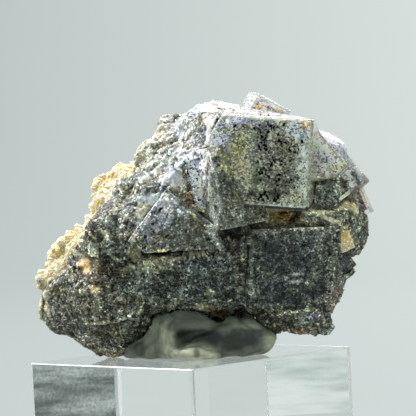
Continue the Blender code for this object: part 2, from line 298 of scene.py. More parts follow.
@dataclass
class Camera:
    """The view of the photograph: half a metre off, a little above the seat, rolled to the right."""

    place: Point = (5.576, -500.0, 43.305)
    aim: Point = (5.576, 0.0, 32.657)
    lens: float = 193.39
    roll: float = math.radians(2.9)

    def build(self, seat: float) -> Object:
        """Makes the scene's camera.

        Args:
            seat: the height of the block's top.

        Returns:
            The camera.
        """
        data = bpy.data.cameras.new("camera")
        data.lens = self.lens
        data.sensor_width = 36.0
        data.clip_start = 0.01
        data.clip_end = 20.0
        camera = bpy.data.objects.new("camera", data)
        bpy.context.scene.collection.objects.link(camera)
        eye = seat_point(self.place, seat)
        turn = (seat_point(self.aim, seat) - eye).to_track_quat("-Z", "Y").to_matrix().to_4x4()
        camera.matrix_world = Matrix.Translation(eye) @ turn @ Matrix.Rotation(-self.roll, 4, "Z")
        bpy.context.scene.camera = camera
        return camera


@dataclass
class Studio:
    """A light tent: a pale sweep all round that glows a little, two soft lamps and two side cards.

    Its sizes are in metres. The real cloth is finer than the weave on the cards, which is drawn at
    0.7 mm so that it shows.
    """

    floor_radius: float = 0.95
    sweep_radius: float = 0.5
    wall_height: float = 1.9
    steps: int = 64
    bend_steps: int = 12
    card_size: Point = (0.002, 0.09, 0.034)
    lamp_aim: Point = (0.0, 0.0, 0.05)

    def build_sweep(self) -> Object:
        """Makes the floor, which curves up into a wall all round.

        Returns:
            The sweep.
        """
        bm = bmesh.new()
        quarter = [i / self.bend_steps * math.pi / 2 for i in range(self.bend_steps + 1)]
        outline = [Vector((0.0, 0.0, 0.0)), Vector((self.floor_radius * 0.5, 0.0, 0.0))]
        outline += [Vector((self.floor_radius + self.sweep_radius * math.sin(a), 0.0,
                            self.sweep_radius * (1.0 - math.cos(a)))) for a in quarter]
        outline.append(Vector((self.floor_radius + self.sweep_radius, 0.0, self.wall_height)))
        points = [bm.verts.new(place) for place in outline]
        edges = [bm.edges.new(pair) for pair in zip(points, points[1:])]
        bmesh.ops.spin(bm, geom=points + edges, cent=(0, 0, 0), axis=(0, 0, 1), angle=2 * math.pi,
                       steps=self.steps, use_merge=True)
        bmesh.ops.remove_doubles(bm, verts=bm.verts, dist=0.1 * MM)
        bmesh.ops.recalc_face_normals(bm, faces=bm.faces)
        mesh = made_mesh(bm, "sweep")
        dress(mesh, self.cloth())
        sweep = link_piece("sweep", mesh)
        return sweep

    def cloth(self) -> Material:
        """Builds matt white tent cloth, lit from outside, a little brighter to the right.

        Returns:
            The material.
        """
        material, tree, shader = new_material("tent_cloth")
        place = add_node(tree, "ShaderNodeTexCoord")
        across = add_node(tree, "ShaderNodeSeparateXYZ", {0: place.outputs["Object"]})
        ramp = add_node(tree, "ShaderNodeMapRange",
                        {"Value": across.outputs["X"], "From Min": -0.2, "From Max": 0.2})
        glow = add_node(tree, "ShaderNodeMix", {0: ramp, 6: linear("#bac4c2"), 7: linear("#d6dfdc")},
                        data_type="RGBA")
        set_inputs(tree, shader,
                   {"Base Color": linear("#171817"), "Emission Color": glow, "Roughness": 1.0,
                    "Emission Strength": 1.0, "Specular IOR Level": 0.0})
        return material

    def light(self, name: str, place: Point, size: float, power: float, tint: str) -> Object:
        """Adds one soft light that looks at the specimen.

        Args:
            name: the light's name.
            place: where it hangs, in metres.
            size: the side of its square face, in metres.
            power: its power in watts.
            tint: its colour.

        Returns:
            The light.
        """
        data = bpy.data.lights.new(name, "AREA")
        data.shape = "SQUARE"
        data.size = size
        data.energy = power
        data.color = linear(tint)[:3]
        lamp = bpy.data.objects.new(name, data)
        bpy.context.scene.collection.objects.link(lamp)
        lamp.location = place
        lamp.rotation_euler = (Vector(self.lamp_aim) - Vector(place)).to_track_quat("-Z", "Y").to_euler()
        lamp.visible_camera = False
        log.info("%s hung", name)
        return lamp

    def card(self, name: str, centre: Point, tones: tuple, bands: float, weave: float) -> Object:
        """Stands a card beside the block, where only the clear pieces see it.

        The block turns the view sideways near its left and right edges, so these cards are what
        shows there.

        Args:
            name: the card's name.
            centre: its middle, in metres.
            tones: its darkest and lightest colours.
            bands: the height of its soft bands, in millimetres.
            weave: how strongly its cloth shows, from 0 to 1.

        Returns:
            The card.
        """
        bm = bmesh.new()
        bmesh.ops.create_cube(bm, size=1.0)
        for vertex in bm.verts:
            vertex.co = Vector(centre) + Vector([a * b for a, b in zip(vertex.co, self.card_size)])
        mesh = made_mesh(bm, name)
        material, tree, shader = new_material(name)
        place = add_node(tree, "ShaderNodeTexCoord")
        drawn = add_node(tree, "ShaderNodeMapping",
                         {"Vector": place.outputs["Object"], "Rotation": (0.2, 0.0, 0.0),
                          "Scale": (1.0, 0.16, 1.0)})
        cloud = add_node(tree, "ShaderNodeTexNoise",
                         {"Vector": drawn, "Scale": 1.0 / (bands * MM), "Detail": 3.0})
        tone = add_node(tree, "ShaderNodeValToRGB", {0: cloud},
                        ((0.36, linear(tones[0])), (0.64, linear(tones[1]))))
        fine = add_node(tree, "ShaderNodeTexNoise",
                        {"Vector": place.outputs["Object"], "Detail": 2.0, "Scale": 1.0 / (0.7 * MM)})
        threads = add_node(tree, "ShaderNodeValToRGB", {0: fine}, ((0.35, 0.72), (0.65, 1.28)))
        woven = add_node(tree, "ShaderNodeMix", {0: weave, 6: tone, 7: threads}, **TIMES)
        set_inputs(tree, shader,
                   {"Base Color": linear("#050505"), "Specular IOR Level": 0.0, "Emission Color": woven,
                    "Emission Strength": 1.0})
        mesh.materials.append(material)
        card = link_piece(name, mesh)
        card.visible_camera = False
        card.visible_diffuse = False
        card.visible_shadow = False
        log.info("%s stood beside the block", name)
        return card

    def build(self) -> None:
        """Makes the sweep, the lamps, the cards and the tent's pale roof."""
        self.build_sweep()
        log.info("sweep laid")
        self.light("overhead", (-0.30, 0.20, 0.55), size=0.30, power=9.0, tint="#f4f4ff")
        self.light("backlight", (0.12, 0.50, 0.42), size=0.30, power=6.0, tint="#fbf7ff")
        self.card("grey_card", (0.075, 0.015, 0.017), ("#46524d", "#9da9a5"), bands=3.0, weave=1.0)
        self.card("pale_card", (-0.075, 0.015, 0.017), ("#acbcb7", "#dfe8e4"), bands=4.0, weave=0.0)
        world = bpy.data.worlds.new("tent_roof")
        world.use_nodes = True
        set_inputs(world.node_tree, world.node_tree.nodes["Background"],
                   {"Color": linear("#d3dbd9"), "Strength": 0.85})
        bpy.context.scene.world = world
        bpy.context.scene.view_settings.view_transform = "Standard"


@dataclass(frozen=True)
class Patch:
    """A stained or differently grown place, or a place of painted light or shade: an egg-shaped reach in
    millimetres and its colour.
    """

    centre: Point
    reach: Point
    tone: str
    strength: float = 1.0

    def cover(self, points: np.ndarray, stir: np.ndarray, soft: float = 0.4) -> np.ndarray:
        """How strongly the patch covers each point, from 0 to its strength.

        Args:
            points: places in millimetres from the seat.
            stir: noise for each point, which makes the border ragged.
            soft: the border's width, as a share of the reach.

        Returns:
            One share for each point.
        """
        off = np.linalg.norm((points - np.array(self.centre)) / np.array(self.reach), axis=1)
        return smooth_step((1.0 - off + stir) / soft) * self.strength


# A vein's path is met as it is seen from the display side, so depth counts little.
SEEN = np.array((1.0, 0.15, 1.0))


@dataclass(frozen=True)
class Vein:
    """A ridge along a path over the stone: its width and how far it stands out, in millimetres."""

    path: tuple
    tone: str
    width: float = 0.35
    lift: float = 0.3

    def cover(self, points: np.ndarray, stir: np.ndarray) -> np.ndarray:
        """How strongly the ridge covers each point, from 0 to 1.

        Args:
            points: places in millimetres from the seat.
            stir: noise for each point, which makes the ridge uneven.

        Returns:
            One share for each point.
        """
        off = path_gap(points, self.path, SEEN)
        return smooth_step((self.width * (1.0 + 0.8 * stir) - off) / self.width + 0.5)


# Growth ridges and cracks, on the rock and on the stony cubes, and one near-black ridge that is painted
# shade.
VEINS = (
    Vein(((6.4, -9.1, 52.6), (6.2, -11.0, 48.8), (6.2, -14.0, 45.7)), "#e2e2e6", 0.16, 0.05),
    Vein(((1.3, -10.2, 43.5), (3.6, -12.2, 44.0), (5.5, -14.2, 44.3), (6.4, -15.0, 45.0)),
         "#f4f4f6", 0.25, 0.3),
    Vein(((-4.8, -7.8, 37.5), (-2.4, -9.3, 40.1), (-0.1, -10.2, 42.4), (1.3, -10.9, 44.3)),
         "#c3c5d2", 0.4, 0.35),
    Vein(((-2.1, -14.6, 35.1), (0.0, -14.6, 33.3), (2.1, -14.6, 31.9), (4.3, -14.6, 29.6),
          (6.2, -15.5, 28.4), (7.4, -16.5, 28.4)), "#d6d0b2", 0.3, 0.35),
    Vein(((26.2, -13.9, 31.3), (29.8, -13.9, 30.4), (33.8, -12.0, 28.0)), "#bdbba8", 0.4, 0.3),
    Vein(((29.5, -13.0, 30.8), (32.2, -11.4, 30.5), (35.4, -5.9, 31.2), (38.3, -5.7, 30.4)),
         "#cfcbae", 0.36, 0.4),
    Vein(((0.8, -3.5, 53.6), (4.4, -7.0, 52.3)), "#d9a04a", 0.25, 0.05),
    Vein(((5.6, -14.6, 28.9), (7.0, -14.6, 26.0), (8.0, -14.2, 23.8)), "#8f938d", 0.6, 0.35),
    # Painted shade: a near-black ridge under the rock above the tack's right end.
    Vein(((14.6, -7.0, 10.5), (18.6, -7.0, 10.3)), "#211f18", 1.0, 1.5),
    Vein(((-24.0, -5.5, 8.5), (-15.7, -9.4, 8.8), (-10.7, -10.2, 11.1), (-9.6, -11.1, 13.0)),
         "#98967f", 0.22),
    Vein(((-21.5, -6.0, 29.4), (-18.0, -8.0, 26.0), (-16.0, -9.0, 23.0), (-11.0, -10.0, 20.6)),
         "#a9a890", 0.35),
)
# Rock that closes the gap at the tack's right end, painted near black as painted shade, and the seams
# along two stony cubes.
FILLETS = (
    Vein(((15.4, -10.0, 9.6), (16.4, -10.5, 8.0), (18.2, -10.5, 6.8), (19.4, -9.8, 6.5)),
         "#201f19", 1.0, 1.3),
    Vein(((13.4, -13.0, 28.0), (13.0, -13.0, 22.0), (13.3, -13.0, 16.0), (13.2, -13.0, 12.0)),
         "#3d3f39", 1.0, 0.9),
    Vein(((0.6, -14.0, 22.7), (3.2, -14.2, 23.1), (6.0, -14.6, 24.6)), "#41433c", 0.9, 1.3),
)
# A painted highlight along the corner cube's upper left edge, and painted shade along the dark cube's
# left edge, which runs into the rock and hides the lit line there.
PAINTED_CUBE_EDGE_LIGHT_AND_SHADE = (
    Vein(((-12.2, -14.0, 25.2), (-8.5, -14.0, 30.9), (-4.0, -14.0, 36.4)), "#bcbfcd", 0.7, 0.02),
    Vein(((14.6, -14.0, 28.2), (14.5, -14.0, 20.0), (14.2, -14.0, 11.8)), "#262823", 0.8, 0.0),
)
# Growth seams on the hearts of the clear cubes.
SEAMS = (
    Vein(((35.6, -1.0, 42.3), (37.8, 0.0, 39.4), (40.0, 0.0, 36.7)), "#2e3a35", 0.3),
    Vein(((38.7, 0.0, 39.4), (39.9, 0.0, 34.4), (40.1, 0.0, 31.1)), "#27312d", 0.45),
    Vein(((33.0, -8.0, 44.6), (35.5, -6.0, 42.6), (37.5, -4.0, 39.0)), "#b29c50", 0.25),
)
# Smooth faces that show in the rock between the ridge cube and the window cube: centre and reach.
LEVEL_PLACES = (
    ((3.4, -11.8, 40.0), (4.0, 5.0, 7.0)),
    ((4.4, -10.0, 47.6), (2.8, 3.0, 3.0)),
)
STONE = "#585b52"
CRUST = "#f2dfa8"
CRUST_LINE = ((-30.0, 10.0, 16.0), (-13.0, 9.0, 42.0))
# Where patches overlap, the later one lies on top. Besides stains and the rock's own tones, many patches
# are painted light or shade, as marked below.
STONE_TONES_AND_PAINTED_LIGHT = (
    Patch((-24.0, -4.0, 12.0), (15.0, 14.0, 16.0), "#5c5a4f", 0.8),
    # Painted light: the upper rock paler, as lit from above; this patch and the next.
    Patch((-4.0, 0.0, 47.0), (14.0, 14.0, 9.0), "#9fa296", 0.85),
    Patch((-14.0, -2.0, 37.0), (7.0, 9.0, 5.0), "#85877a", 0.7),
    Patch((-14.0, -8.0, 31.0), (8.0, 5.0, 5.5), "#898b80", 0.75),
    # Painted shade on the dark left side of the upper left block.
    Patch((-21.8, -2.4, 29.2), (1.6, 4.0, 4.5), "#35372e", 0.9),
    Patch((-20.3, -9.9, 24.9), (1.4, 3.0, 3.4), "#a4a999", 0.8),
    Patch((-22.1, -5.3, 21.5), (2.1, 3.0, 1.9), "#f0c48c", 1.0),
    Patch((-16.3, -8.0, 19.8), (4.2, 4.0, 2.8), "#57534a", 0.9),
    Patch((-20.2, -9.1, 16.1), (1.3, 2.0, 1.3), "#cfc8a8", 0.8),
    Patch((-22.9, -7.4, 15.7), (1.1, 2.0, 1.1), "#b4b094", 0.7),
    Patch((-32.0, 0.7, 13.2), (0.9, 3.0, 3.4), "#e4e4cf", 0.9),
    Patch((-28.3, -2.5, 15.7), (2.4, 3.0, 1.8), "#5c5638", 0.8),
    Patch((-23.3, -3.3, 4.8), (4.5, 5.0, 2.4), "#94948a", 0.6),
    # Painted shade on the shaded lower right side of the left mass's tip.
    Patch((-10.8, -7.0, 6.1), (2.2, 5.0, 3.4), "#22221d", 0.95),
    Patch((-17.9, -2.1, 0.5), (3.4, 4.0, 0.7), "#b98a4e", 0.9),
    # Painted shade and dark pits along the gap under the corner cube.
    Patch((-6.6, -12.0, 23.4), (2.0, 4.0, 0.8), "#181712", 0.9),
    # Painted light on the shaded rock at the ridge cube's left side; this patch and the next.
    Patch((3.0, -11.8, 42.0), (2.8, 4.0, 3.8), "#eceef4", 0.97),
    Patch((4.4, -12.3, 36.8), (2.3, 4.0, 4.8), "#e4e7ec", 0.97),
    Patch((5.9, -13.0, 31.6), (2.2, 4.0, 3.4), "#d2d8d4", 0.95),
    Patch((1.9, -12.0, 35.0), (0.8, 2.0, 2.6), "#8c6a48", 0.7),
    Patch((3.0, -13.0, 18.0), (15.0, 8.0, 8.0), "#4b5353", 0.75),
    # Painted light in shaded recesses and a groove; this patch and the next two.
    Patch((-0.4, -10.9, 35.0), (1.8, 2.0, 2.4), "#8d8a84", 0.7),
    Patch((-1.1, -10.5, 39.6), (2.6, 4.0, 3.4), "#e9eae8", 0.95),
    Patch((4.4, -11.5, 31.8), (1.6, 2.6, 1.2), "#f6ecc6", 0.95),
    # Painted shade in the crevice left of the dark cube.
    Patch((12.8, -15.1, 26.1), (4.4, 4.0, 5.0), "#1f1d15", 0.94),
    # Painted light in the shaded gap left of the dark cube.
    Patch((12.4, -12.8, 18.5), (2.2, 5.0, 7.5), "#57564a", 0.7),
    Patch((5.1, -12.0, 14.1), (1.6, 2.0, 1.3), "#c6c0a0", 0.7),
    Patch((-0.2, 2.5, 51.1), (6.0, 6.0, 3.6), "#d2d3d8", 0.9),
    Patch((-5.2, 4.0, 51.2), (3.4, 9.0, 3.2), "#bdb59c", 0.85),
    # Painted light and lilac-white painted highlights on the upper rock; this patch and the next two.
    Patch((-7.3, 0.1, 44.1), (4.4, 5.0, 4.2), "#a8ad9c", 0.8),
    Patch((-2.8, -8.6, 40.5), (2.4, 3.0, 4.2), "#c6c8d2", 0.85),
    Patch((2.3, -8.7, 46.2), (4.2, 3.6, 3.2), "#b9bac4", 0.85),
    Patch((4.4, -10.0, 47.4), (2.1, 3.0, 2.1), "#5d6059", 0.9),
    Patch((6.4, -10.0, 52.2), (2.4, 4.0, 2.8), "#aeada8", 0.9),
    # Painted light on the ledge that lies in the corner cube's shadow.
    Patch((-0.5, -13.2, 22.9), (7.5, 3.6, 1.1), "#b4b4a6", 0.85),
    Patch((6.2, -7.5, 9.6), (2.6, 4.0, 1.5), "#6b5330", 0.8),
    Patch((3.6, -10.3, 11.3), (2.4, 3.0, 0.9), "#bcb69e", 0.85),
    Patch((9.4, 2.3, 55.1), (9.0, 9.0, 3.4), "#c9c9d0", 0.95),
    # Painted light in the shaded slot at the window cube's upper left.
    Patch((6.5, -12.0, 49.4), (1.1, 6.0, 4.4), "#ececf2", 0.95),
    Patch((32.7, -6.0, 34.3), (5.0, 4.0, 3.8), "#858a80", 0.7),
    Patch((34.6, -10.3, 25.5), (3.4, 4.0, 4.4), "#a5a285", 0.8),
    Patch((37.4, -2.3, 22.6), (0.9, 1.6, 1.1), "#6a5388", 0.8),
    Patch((36.1, -5.4, 31.2), (3.0, 3.0, 1.8), "#d8cf9c", 0.9),
    # The amber stain in the recess under the window cube, lightened as painted light, for the recess lies
    # in shade.
    Patch((21.0, -9.8, 30.3), (6.0, 6.0, 2.2), "#d6bc78", 0.9),
    Patch((22.5, -8.3, 31.3), (1.6, 3.0, 0.9), "#8a3f1e", 0.9),
    Patch((23.0, -11.8, 28.6), (10.0, 5.0, 0.9), "#9b9a86", 0.85),
    Patch((24.4, -15.2, 9.4), (6.0, 3.0, 0.9), "#8c8a76", 0.5),
    Patch((27.6, -15.7, 8.3), (2.4, 2.0, 0.9), "#8f8798", 0.7),
    Patch((25.4, -11.9, 5.0), (4.0, 4.0, 0.6), "#70593a", 0.7),
    Patch((32.2, -9.3, 11.3), (2.0, 4.0, 4.0), "#8a7a78", 0.7),
    Patch((41.3, -0.2, 31.1), (1.1, 3.0, 2.6), "#f0a678", 0.9),
    Patch((-17.0, 8.0, 40.5), (3.0, 6.0, 2.0), "#e5b364", 0.8),
    Patch((-12.5, 8.0, 44.0), (2.0, 6.0, 2.2), "#e4ac6c", 0.8),
    Patch((-29.0, 8.0, 24.0), (4.0, 6.0, 1.5), "#dfb65c", 0.8),
    Patch((-20.5, 8.0, 30.5), (2.0, 6.0, 2.0), "#dbaf58", 0.8),
    # Painted shade on the dark left side of the upper left block.
    Patch((-21.2, -6.0, 29.3), (3.0, 10.0, 3.2), "#1f201a", 0.94),
    Patch((-17.5, -5.0, 33.4), (2.9, 9.0, 2.4), "#393b33", 0.9),
    Patch((-12.8, -5.5, 34.4), (2.0, 6.0, 2.6), "#64665c", 0.8),
    Patch((-12.4, -9.0, 29.3), (2.0, 5.0, 2.0), "#3c3d35", 0.88),
    # Painted light on the shaded rock left of the corner cube's upper edge; this patch and the next two.
    Patch((-9.0, -8.0, 32.7), (2.0, 5.0, 2.2), "#c9cbbb", 0.9),
    Patch((-6.4, -7.0, 35.6), (2.0, 5.0, 2.1), "#d8dacf", 0.9),
    Patch((-8.8, -6.5, 35.4), (1.6, 5.0, 1.2), "#dfe1d8", 0.9),
    Patch((-7.9, -3.0, 39.9), (1.8, 6.0, 1.5), "#c6c8bc", 0.85),
    Patch((-5.7, -3.1, 41.6), (1.8, 5.0, 1.5), "#d9dbd2", 0.9),
    # Painted light in shaded nooks under the corner cube; this patch and the next.
    Patch((-11.0, -8.0, 23.5), (1.9, 6.0, 1.5), "#d5d5c2", 0.95),
    Patch((-8.1, -13.0, 21.0), (1.6, 5.0, 1.4), "#c9cbb6", 0.9),
    Patch((-4.3, -13.3, 20.9), (3.0, 4.0, 1.6), "#898b82", 0.8),
    Patch((-13.3, -8.0, 20.4), (2.0, 5.0, 1.3), "#a19e86", 0.85),
    Patch((-16.4, -10.3, 27.6), (1.4, 4.0, 1.8), "#a9aa9a", 0.85),
    # Painted light in a shaded nook of the left mass.
    Patch((-20.0, -6.3, 21.7), (1.5, 6.0, 1.4), "#c4bfa3", 0.9),
    Patch((-25.5, -3.7, 19.3), (1.8, 4.0, 1.8), "#9c9a84", 0.8),
    Patch((-25.6, -4.5, 14.9), (2.4, 4.0, 1.2), "#a9a690", 0.85),
    Patch((-31.6, 1.2, 18.2), (1.4, 4.0, 1.6), "#b5af8a", 0.9),
    Patch((-4.4, 0.0, 46.2), (3.0, 6.0, 1.1), "#73756b", 0.85),
    Patch((-2.5, 2.0, 49.2), (2.2, 6.0, 1.1), "#9a9b92", 0.85),
    Patch((-0.9, 4.0, 51.2), (2.4, 6.0, 1.0), "#b5b4ae", 0.8),
    Patch((-2.6, 4.0, 53.0), (1.6, 6.0, 1.0), "#dcdad0", 0.85),
    Patch((2.2, -8.0, 46.8), (2.0, 5.0, 0.9), "#7b7d76", 0.9),
    # Painted light in the shaded recess under the window cube.
    Patch((20.0, -10.0, 32.1), (7.0, 5.0, 1.0), "#fbe6b8", 0.9),
    # Painted shade on the right half of the window cube's top ledge, which is lit from above.
    Patch((24.2, -18.6, 51.9), (5.4, 2.4, 1.0), "#7b7e7d", 0.85),
)
# Besides the cubes' own tones, some patches are painted light on shaded faces and in grooves, as marked.
CUBE_TONES_AND_PAINTED_LIGHT = (
    Patch((-3.8, -17.0, 33.0), (4.8, 3.0, 5.0), "#cacbdb", 0.9),
    Patch((-4.1, -17.0, 26.4), (7.5, 3.0, 3.4), "#6b6f69", 0.85),
    Patch((-6.6, -17.0, 30.0), (3.4, 4.0, 4.4), "#9c9eaa", 0.85),
    # Painted light on the corner cube's apex.
    Patch((-3.6, -16.6, 36.0), (1.5, 4.0, 1.6), "#dcdde8", 0.9),
    Patch((-0.6, -17.0, 28.6), (3.0, 4.0, 3.6), "#71756f", 0.8),
    Patch((-5.7, -17.3, 24.2), (1.9, 2.0, 0.5), "#c2b283", 0.9),
    # Painted light on the ridge cube's shaded left face.
    Patch((3.8, -13.0, 40.4), (3.8, 6.0, 7.6), "#c9ccd6", 0.95),
    Patch((6.0, -14.7, 31.6), (2.6, 6.0, 3.6), "#d2d8d4", 0.95),
    # Painted light on the ridge cube's left strip.
    Patch((6.3, -19.0, 41.5), (1.5, 3.0, 5.4), "#c2c3c2", 0.9),
    Patch((7.6, -19.6, 45.4), (1.6, 3.0, 1.8), "#d3d2c4", 0.9),
    Patch((8.7, -19.4, 42.6), (1.5, 3.0, 3.0), "#98987c", 0.9),
    # Painted light on the ridge cube's shaded left face.
    Patch((5.0, -14.5, 43.0), (1.7, 4.0, 3.6), "#f6f6fa", 0.95),
    Patch((7.4, -18.5, 34.5), (1.6, 3.0, 3.2), "#9a9f9f", 0.8),
    Patch((11.0, -19.0, 36.4), (2.8, 3.0, 4.6), "#55574e", 0.9),
    # Painted light in the shaded groove by the corner cube and the ridge cube.
    Patch((4.4, -12.5, 31.8), (1.2, 2.6, 1.2), "#f6ecc6", 0.9),
    Patch((22.8, -15.0, 20.5), (11.5, 8.0, 10.0), "#2b3132", 0.92),
    Patch((21.6, -14.7, 17.0), (2.1, 2.0, 0.7), "#b3bbb8", 0.9),
    Patch((24.0, -14.6, 16.0), (2.1, 2.0, 0.6), "#bfc4b8", 0.9),
    Patch((23.4, -14.7, 17.6), (2.2, 2.0, 0.5), "#c3cbc8", 0.9),
    Patch((13.6, -13.8, 22.0), (1.8, 5.0, 9.0), "#272823", 0.85),
    Patch((27.5, -14.0, 24.0), (3.6, 4.0, 5.0), "#4a504e", 0.8),
    Patch((10.0, -17.5, 31.8), (4.0, 3.0, 3.4), "#92978f", 0.8),
    Patch((20.0, -15.0, 12.9), (13.0, 8.0, 2.6), "#1c2225", 0.92),
    Patch((27.0, -15.0, 28.0), (7.5, 8.0, 1.3), "#b9b8a6", 0.9),
    Patch((10.2, -18.8, 42.6), (1.3, 4.0, 4.2), "#bdbc95", 0.9),
    # Painted light in the shaded groove by the corner cube and the ridge cube.
    Patch((4.5, -9.5, 31.3), (1.2, 4.0, 1.6), "#e6e2cc", 0.9),
    Patch((5.0, -15.5, 45.2), (1.8, 5.0, 1.2), "#ffffff", 0.95),
)
# Besides its own zones, veils and specks, the window heart carries painted light, as marked.
WINDOW_TONES_AND_PAINTED_LIGHT = (
    # Painted light on the lit left of the top and painted shade on its greyer right; this patch and the
    # next.
    Patch((12.0, -11.0, 54.0), (8.0, 14.0, 2.2), "#d3d5d6", 0.95),
    Patch((23.0, -8.0, 52.4), (8.5, 12.4, 2.6), "#666a66", 0.95),
    Patch((9.6, -19.6, 48.2), (4.4, 6.0, 4.6), "#bebecb", 0.9),
    Patch((7.0, -18.6, 41.0), (2.2, 6.0, 5.6), "#b9babf", 0.9),
    Patch((13.6, -20.0, 51.0), (6.0, 6.0, 2.0), "#adabbd", 0.9),
    Patch((10.4, -19.5, 49.6), (2.2, 6.0, 0.9), "#cdc9a4", 0.7),
    Patch((11.3, -19.6, 51.3), (2.4, 6.0, 1.3), "#dcdae6", 0.85),
    Patch((9.2, -19.4, 46.8), (1.4, 6.0, 1.0), "#dcdaec", 0.7),
    Patch((12.6, -19.6, 46.0), (2.9, 6.0, 4.8), "#94905e", 0.9),
    Patch((14.8, -20.0, 49.4), (1.6, 6.0, 1.8), "#83855c", 0.85),
    Patch((10.4, -19.3, 43.0), (1.5, 6.0, 2.6), "#80825c", 0.8),
    Patch((13.0, -19.2, 41.2), (2.5, 6.0, 2.8), "#bcac90", 0.85),
    Patch((17.6, -20.3, 45.2), (3.4, 6.0, 5.2), "#8f8c88", 0.9),
    Patch((19.6, -20.9, 50.2), (3.4, 6.0, 1.8), "#93929b", 0.85),
    Patch((22.4, -20.2, 39.0), (4.2, 6.0, 3.2), "#8d8b7c", 0.85),
    Patch((22.6, -20.9, 44.6), (2.6, 6.0, 3.0), "#64634a", 0.92),
    # Painted light where the clear rind glows pale at the upper right and the right; this patch and the
    # next.
    Patch((25.8, -21.6, 48.6), (4.0, 6.0, 3.0), "#cfd9e2", 0.92),
    Patch((26.8, -20.9, 42.6), (1.5, 6.0, 5.8), "#d3dedb", 0.92),
    Patch((16.4, -19.5, 39.0), (2.3, 6.0, 2.9), "#465c33", 0.8),
    Patch((16.0, -19.6, 41.0), (1.3, 6.0, 0.7), "#74b060", 0.8),
    Patch((15.5, -19.2, 35.6), (3.6, 6.0, 1.5), "#2e311a", 0.95),
    Patch((20.5, -19.5, 35.4), (3.6, 6.0, 1.4), "#36361e", 0.95),
    Patch((20.4, -19.8, 37.6), (6.0, 6.0, 1.9), "#3f402b", 0.7),
    Patch((24.5, -20.0, 36.2), (1.6, 6.0, 2.2), "#93937a", 0.8),
    # Painted light: the pale mint glow at the right.
    Patch((26.0, -20.4, 38.4), (2.2, 6.0, 4.8), "#dae6d8", 0.65),
    # Painted highlight along the heart's bottom edge.
    Patch((20.5, -19.2, 32.9), (7.5, 6.0, 0.9), "#e9f0de", 0.9),
    Patch((15.0, -19.0, 33.1), (2.4, 6.0, 0.9), "#c9bdb4", 0.8),
    Patch((27.0, -21.6, 49.8), (2.0, 6.0, 1.7), "#b98c54", 0.8),
    # Painted glint along the right edge.
    Patch((28.8, -18.0, 42.0), (0.7, 5.0, 6.5), "#ded6a4", 0.75),
    Patch((25.3, -21.4, 50.0), (1.2, 6.0, 1.0), "#8d82a0", 0.6),
)
SHOULDER_PATCHES = (
    Patch((30.4, -11.0, 45.3), (1.2, 5.0, 0.9), "#8fd39a", 0.9),
    Patch((30.6, -10.0, 39.6), (1.4, 5.0, 0.5), "#c99f58", 0.7),
    Patch((35.0, -8.0, 40.3), (3.4, 5.0, 0.8), "#c3b46a", 0.8),
    Patch((31.2, -10.0, 42.5), (2.0, 5.0, 3.0), "#a39da6", 0.7),
)
SHARD_PATCHES = (
    Patch((34.4, -10.0, 25.2), (3.0, 4.0, 1.7), "#c99e50", 0.9),
    Patch((35.0, -10.0, 22.4), (3.0, 4.0, 1.2), "#b0aa8c", 0.8),
)
CREST_PATCHES = (
    Patch((18.2, 4.2, 54.6), (1.3, 3.0, 1.0), "#e5ab4c", 0.9),
    Patch((23.6, 5.3, 54.6), (1.2, 3.0, 1.4), "#e0a246", 0.9),
    Patch((22.4, 4.4, 53.8), (2.6, 3.0, 0.5), "#e3b45e", 0.8),
    Patch((20.6, 4.0, 55.4), (1.0, 3.0, 1.2), "#a19ea6", 0.6),
    Patch((15.6, 4.4, 56.4), (1.8, 3.0, 1.8), "#a9a7bb", 0.5),
)
# Painted shade that dims the top, which the lamps light, and painted light that pales the shaded side.
GHOST_PAINTED_LIGHT_AND_SHADE = (
    Patch((31.0, 4.0, 48.0), (9.0, 9.0, 2.4), "#93929b", 0.9),
    Patch((37.4, 0.0, 41.0), (4.0, 4.0, 5.5), "#f1eff5", 0.9),
)
# Where the black inclusions gather. These patches have no tone.
WINDOW_PITS = (
    Patch((18.9, -21.0, 49.3), (3.4, 3.4, 2.2), "", 1.0),
    Patch((17.8, -20.6, 46.6), (2.2, 3.4, 2.6), "", 0.8),
    Patch((22.6, -21.1, 46.9), (1.8, 3.4, 1.8), "", 1.0),
    Patch((24.6, -21.1, 44.3), (1.8, 3.4, 2.1), "", 1.0),
    Patch((19.6, -20.4, 43.6), (2.9, 3.4, 2.8), "", 0.75),
    Patch((22.8, -20.7, 42.2), (2.0, 3.4, 1.4), "", 0.7),
    Patch((17.6, -20.0, 40.9), (2.2, 3.4, 1.5), "", 0.75),
    Patch((20.8, -20.1, 38.6), (4.0, 3.4, 2.4), "", 0.5),
    Patch((18.2, -19.3, 35.0), (5.8, 3.4, 1.5), "", 0.8),
    Patch((26.0, -21.5, 46.2), (1.0, 3.4, 1.0), "", 0.8),
    Patch((14.4, -20.4, 50.7), (2.6, 3.4, 0.8), "", 0.4),
    Patch((9.6, -20.0, 49.8), (1.4, 3.4, 1.4), "", 0.3),
)
RIDGE_PITS = (
    Patch((5.2, -14.0, 41.6), (3.0, 6.0, 4.6), "", 0.9),
    Patch((6.2, -17.0, 36.0), (2.2, 6.0, 3.6), "", 0.7),
    Patch((8.4, -19.6, 42.6), (2.0, 3.0, 2.6), "", 0.3),
    Patch((-5.4, -17.2, 29.0), (4.6, 3.0, 5.2), "", 0.35),
    Patch((1.0, -17.2, 27.6), (4.6, 3.0, 3.2), "", 0.25),
    Patch((3.0, -11.6, 40.0), (2.6, 3.0, 4.4), "", 0.8),
    Patch((3.4, -12.4, 34.8), (1.8, 3.0, 2.4), "", 0.7),
)
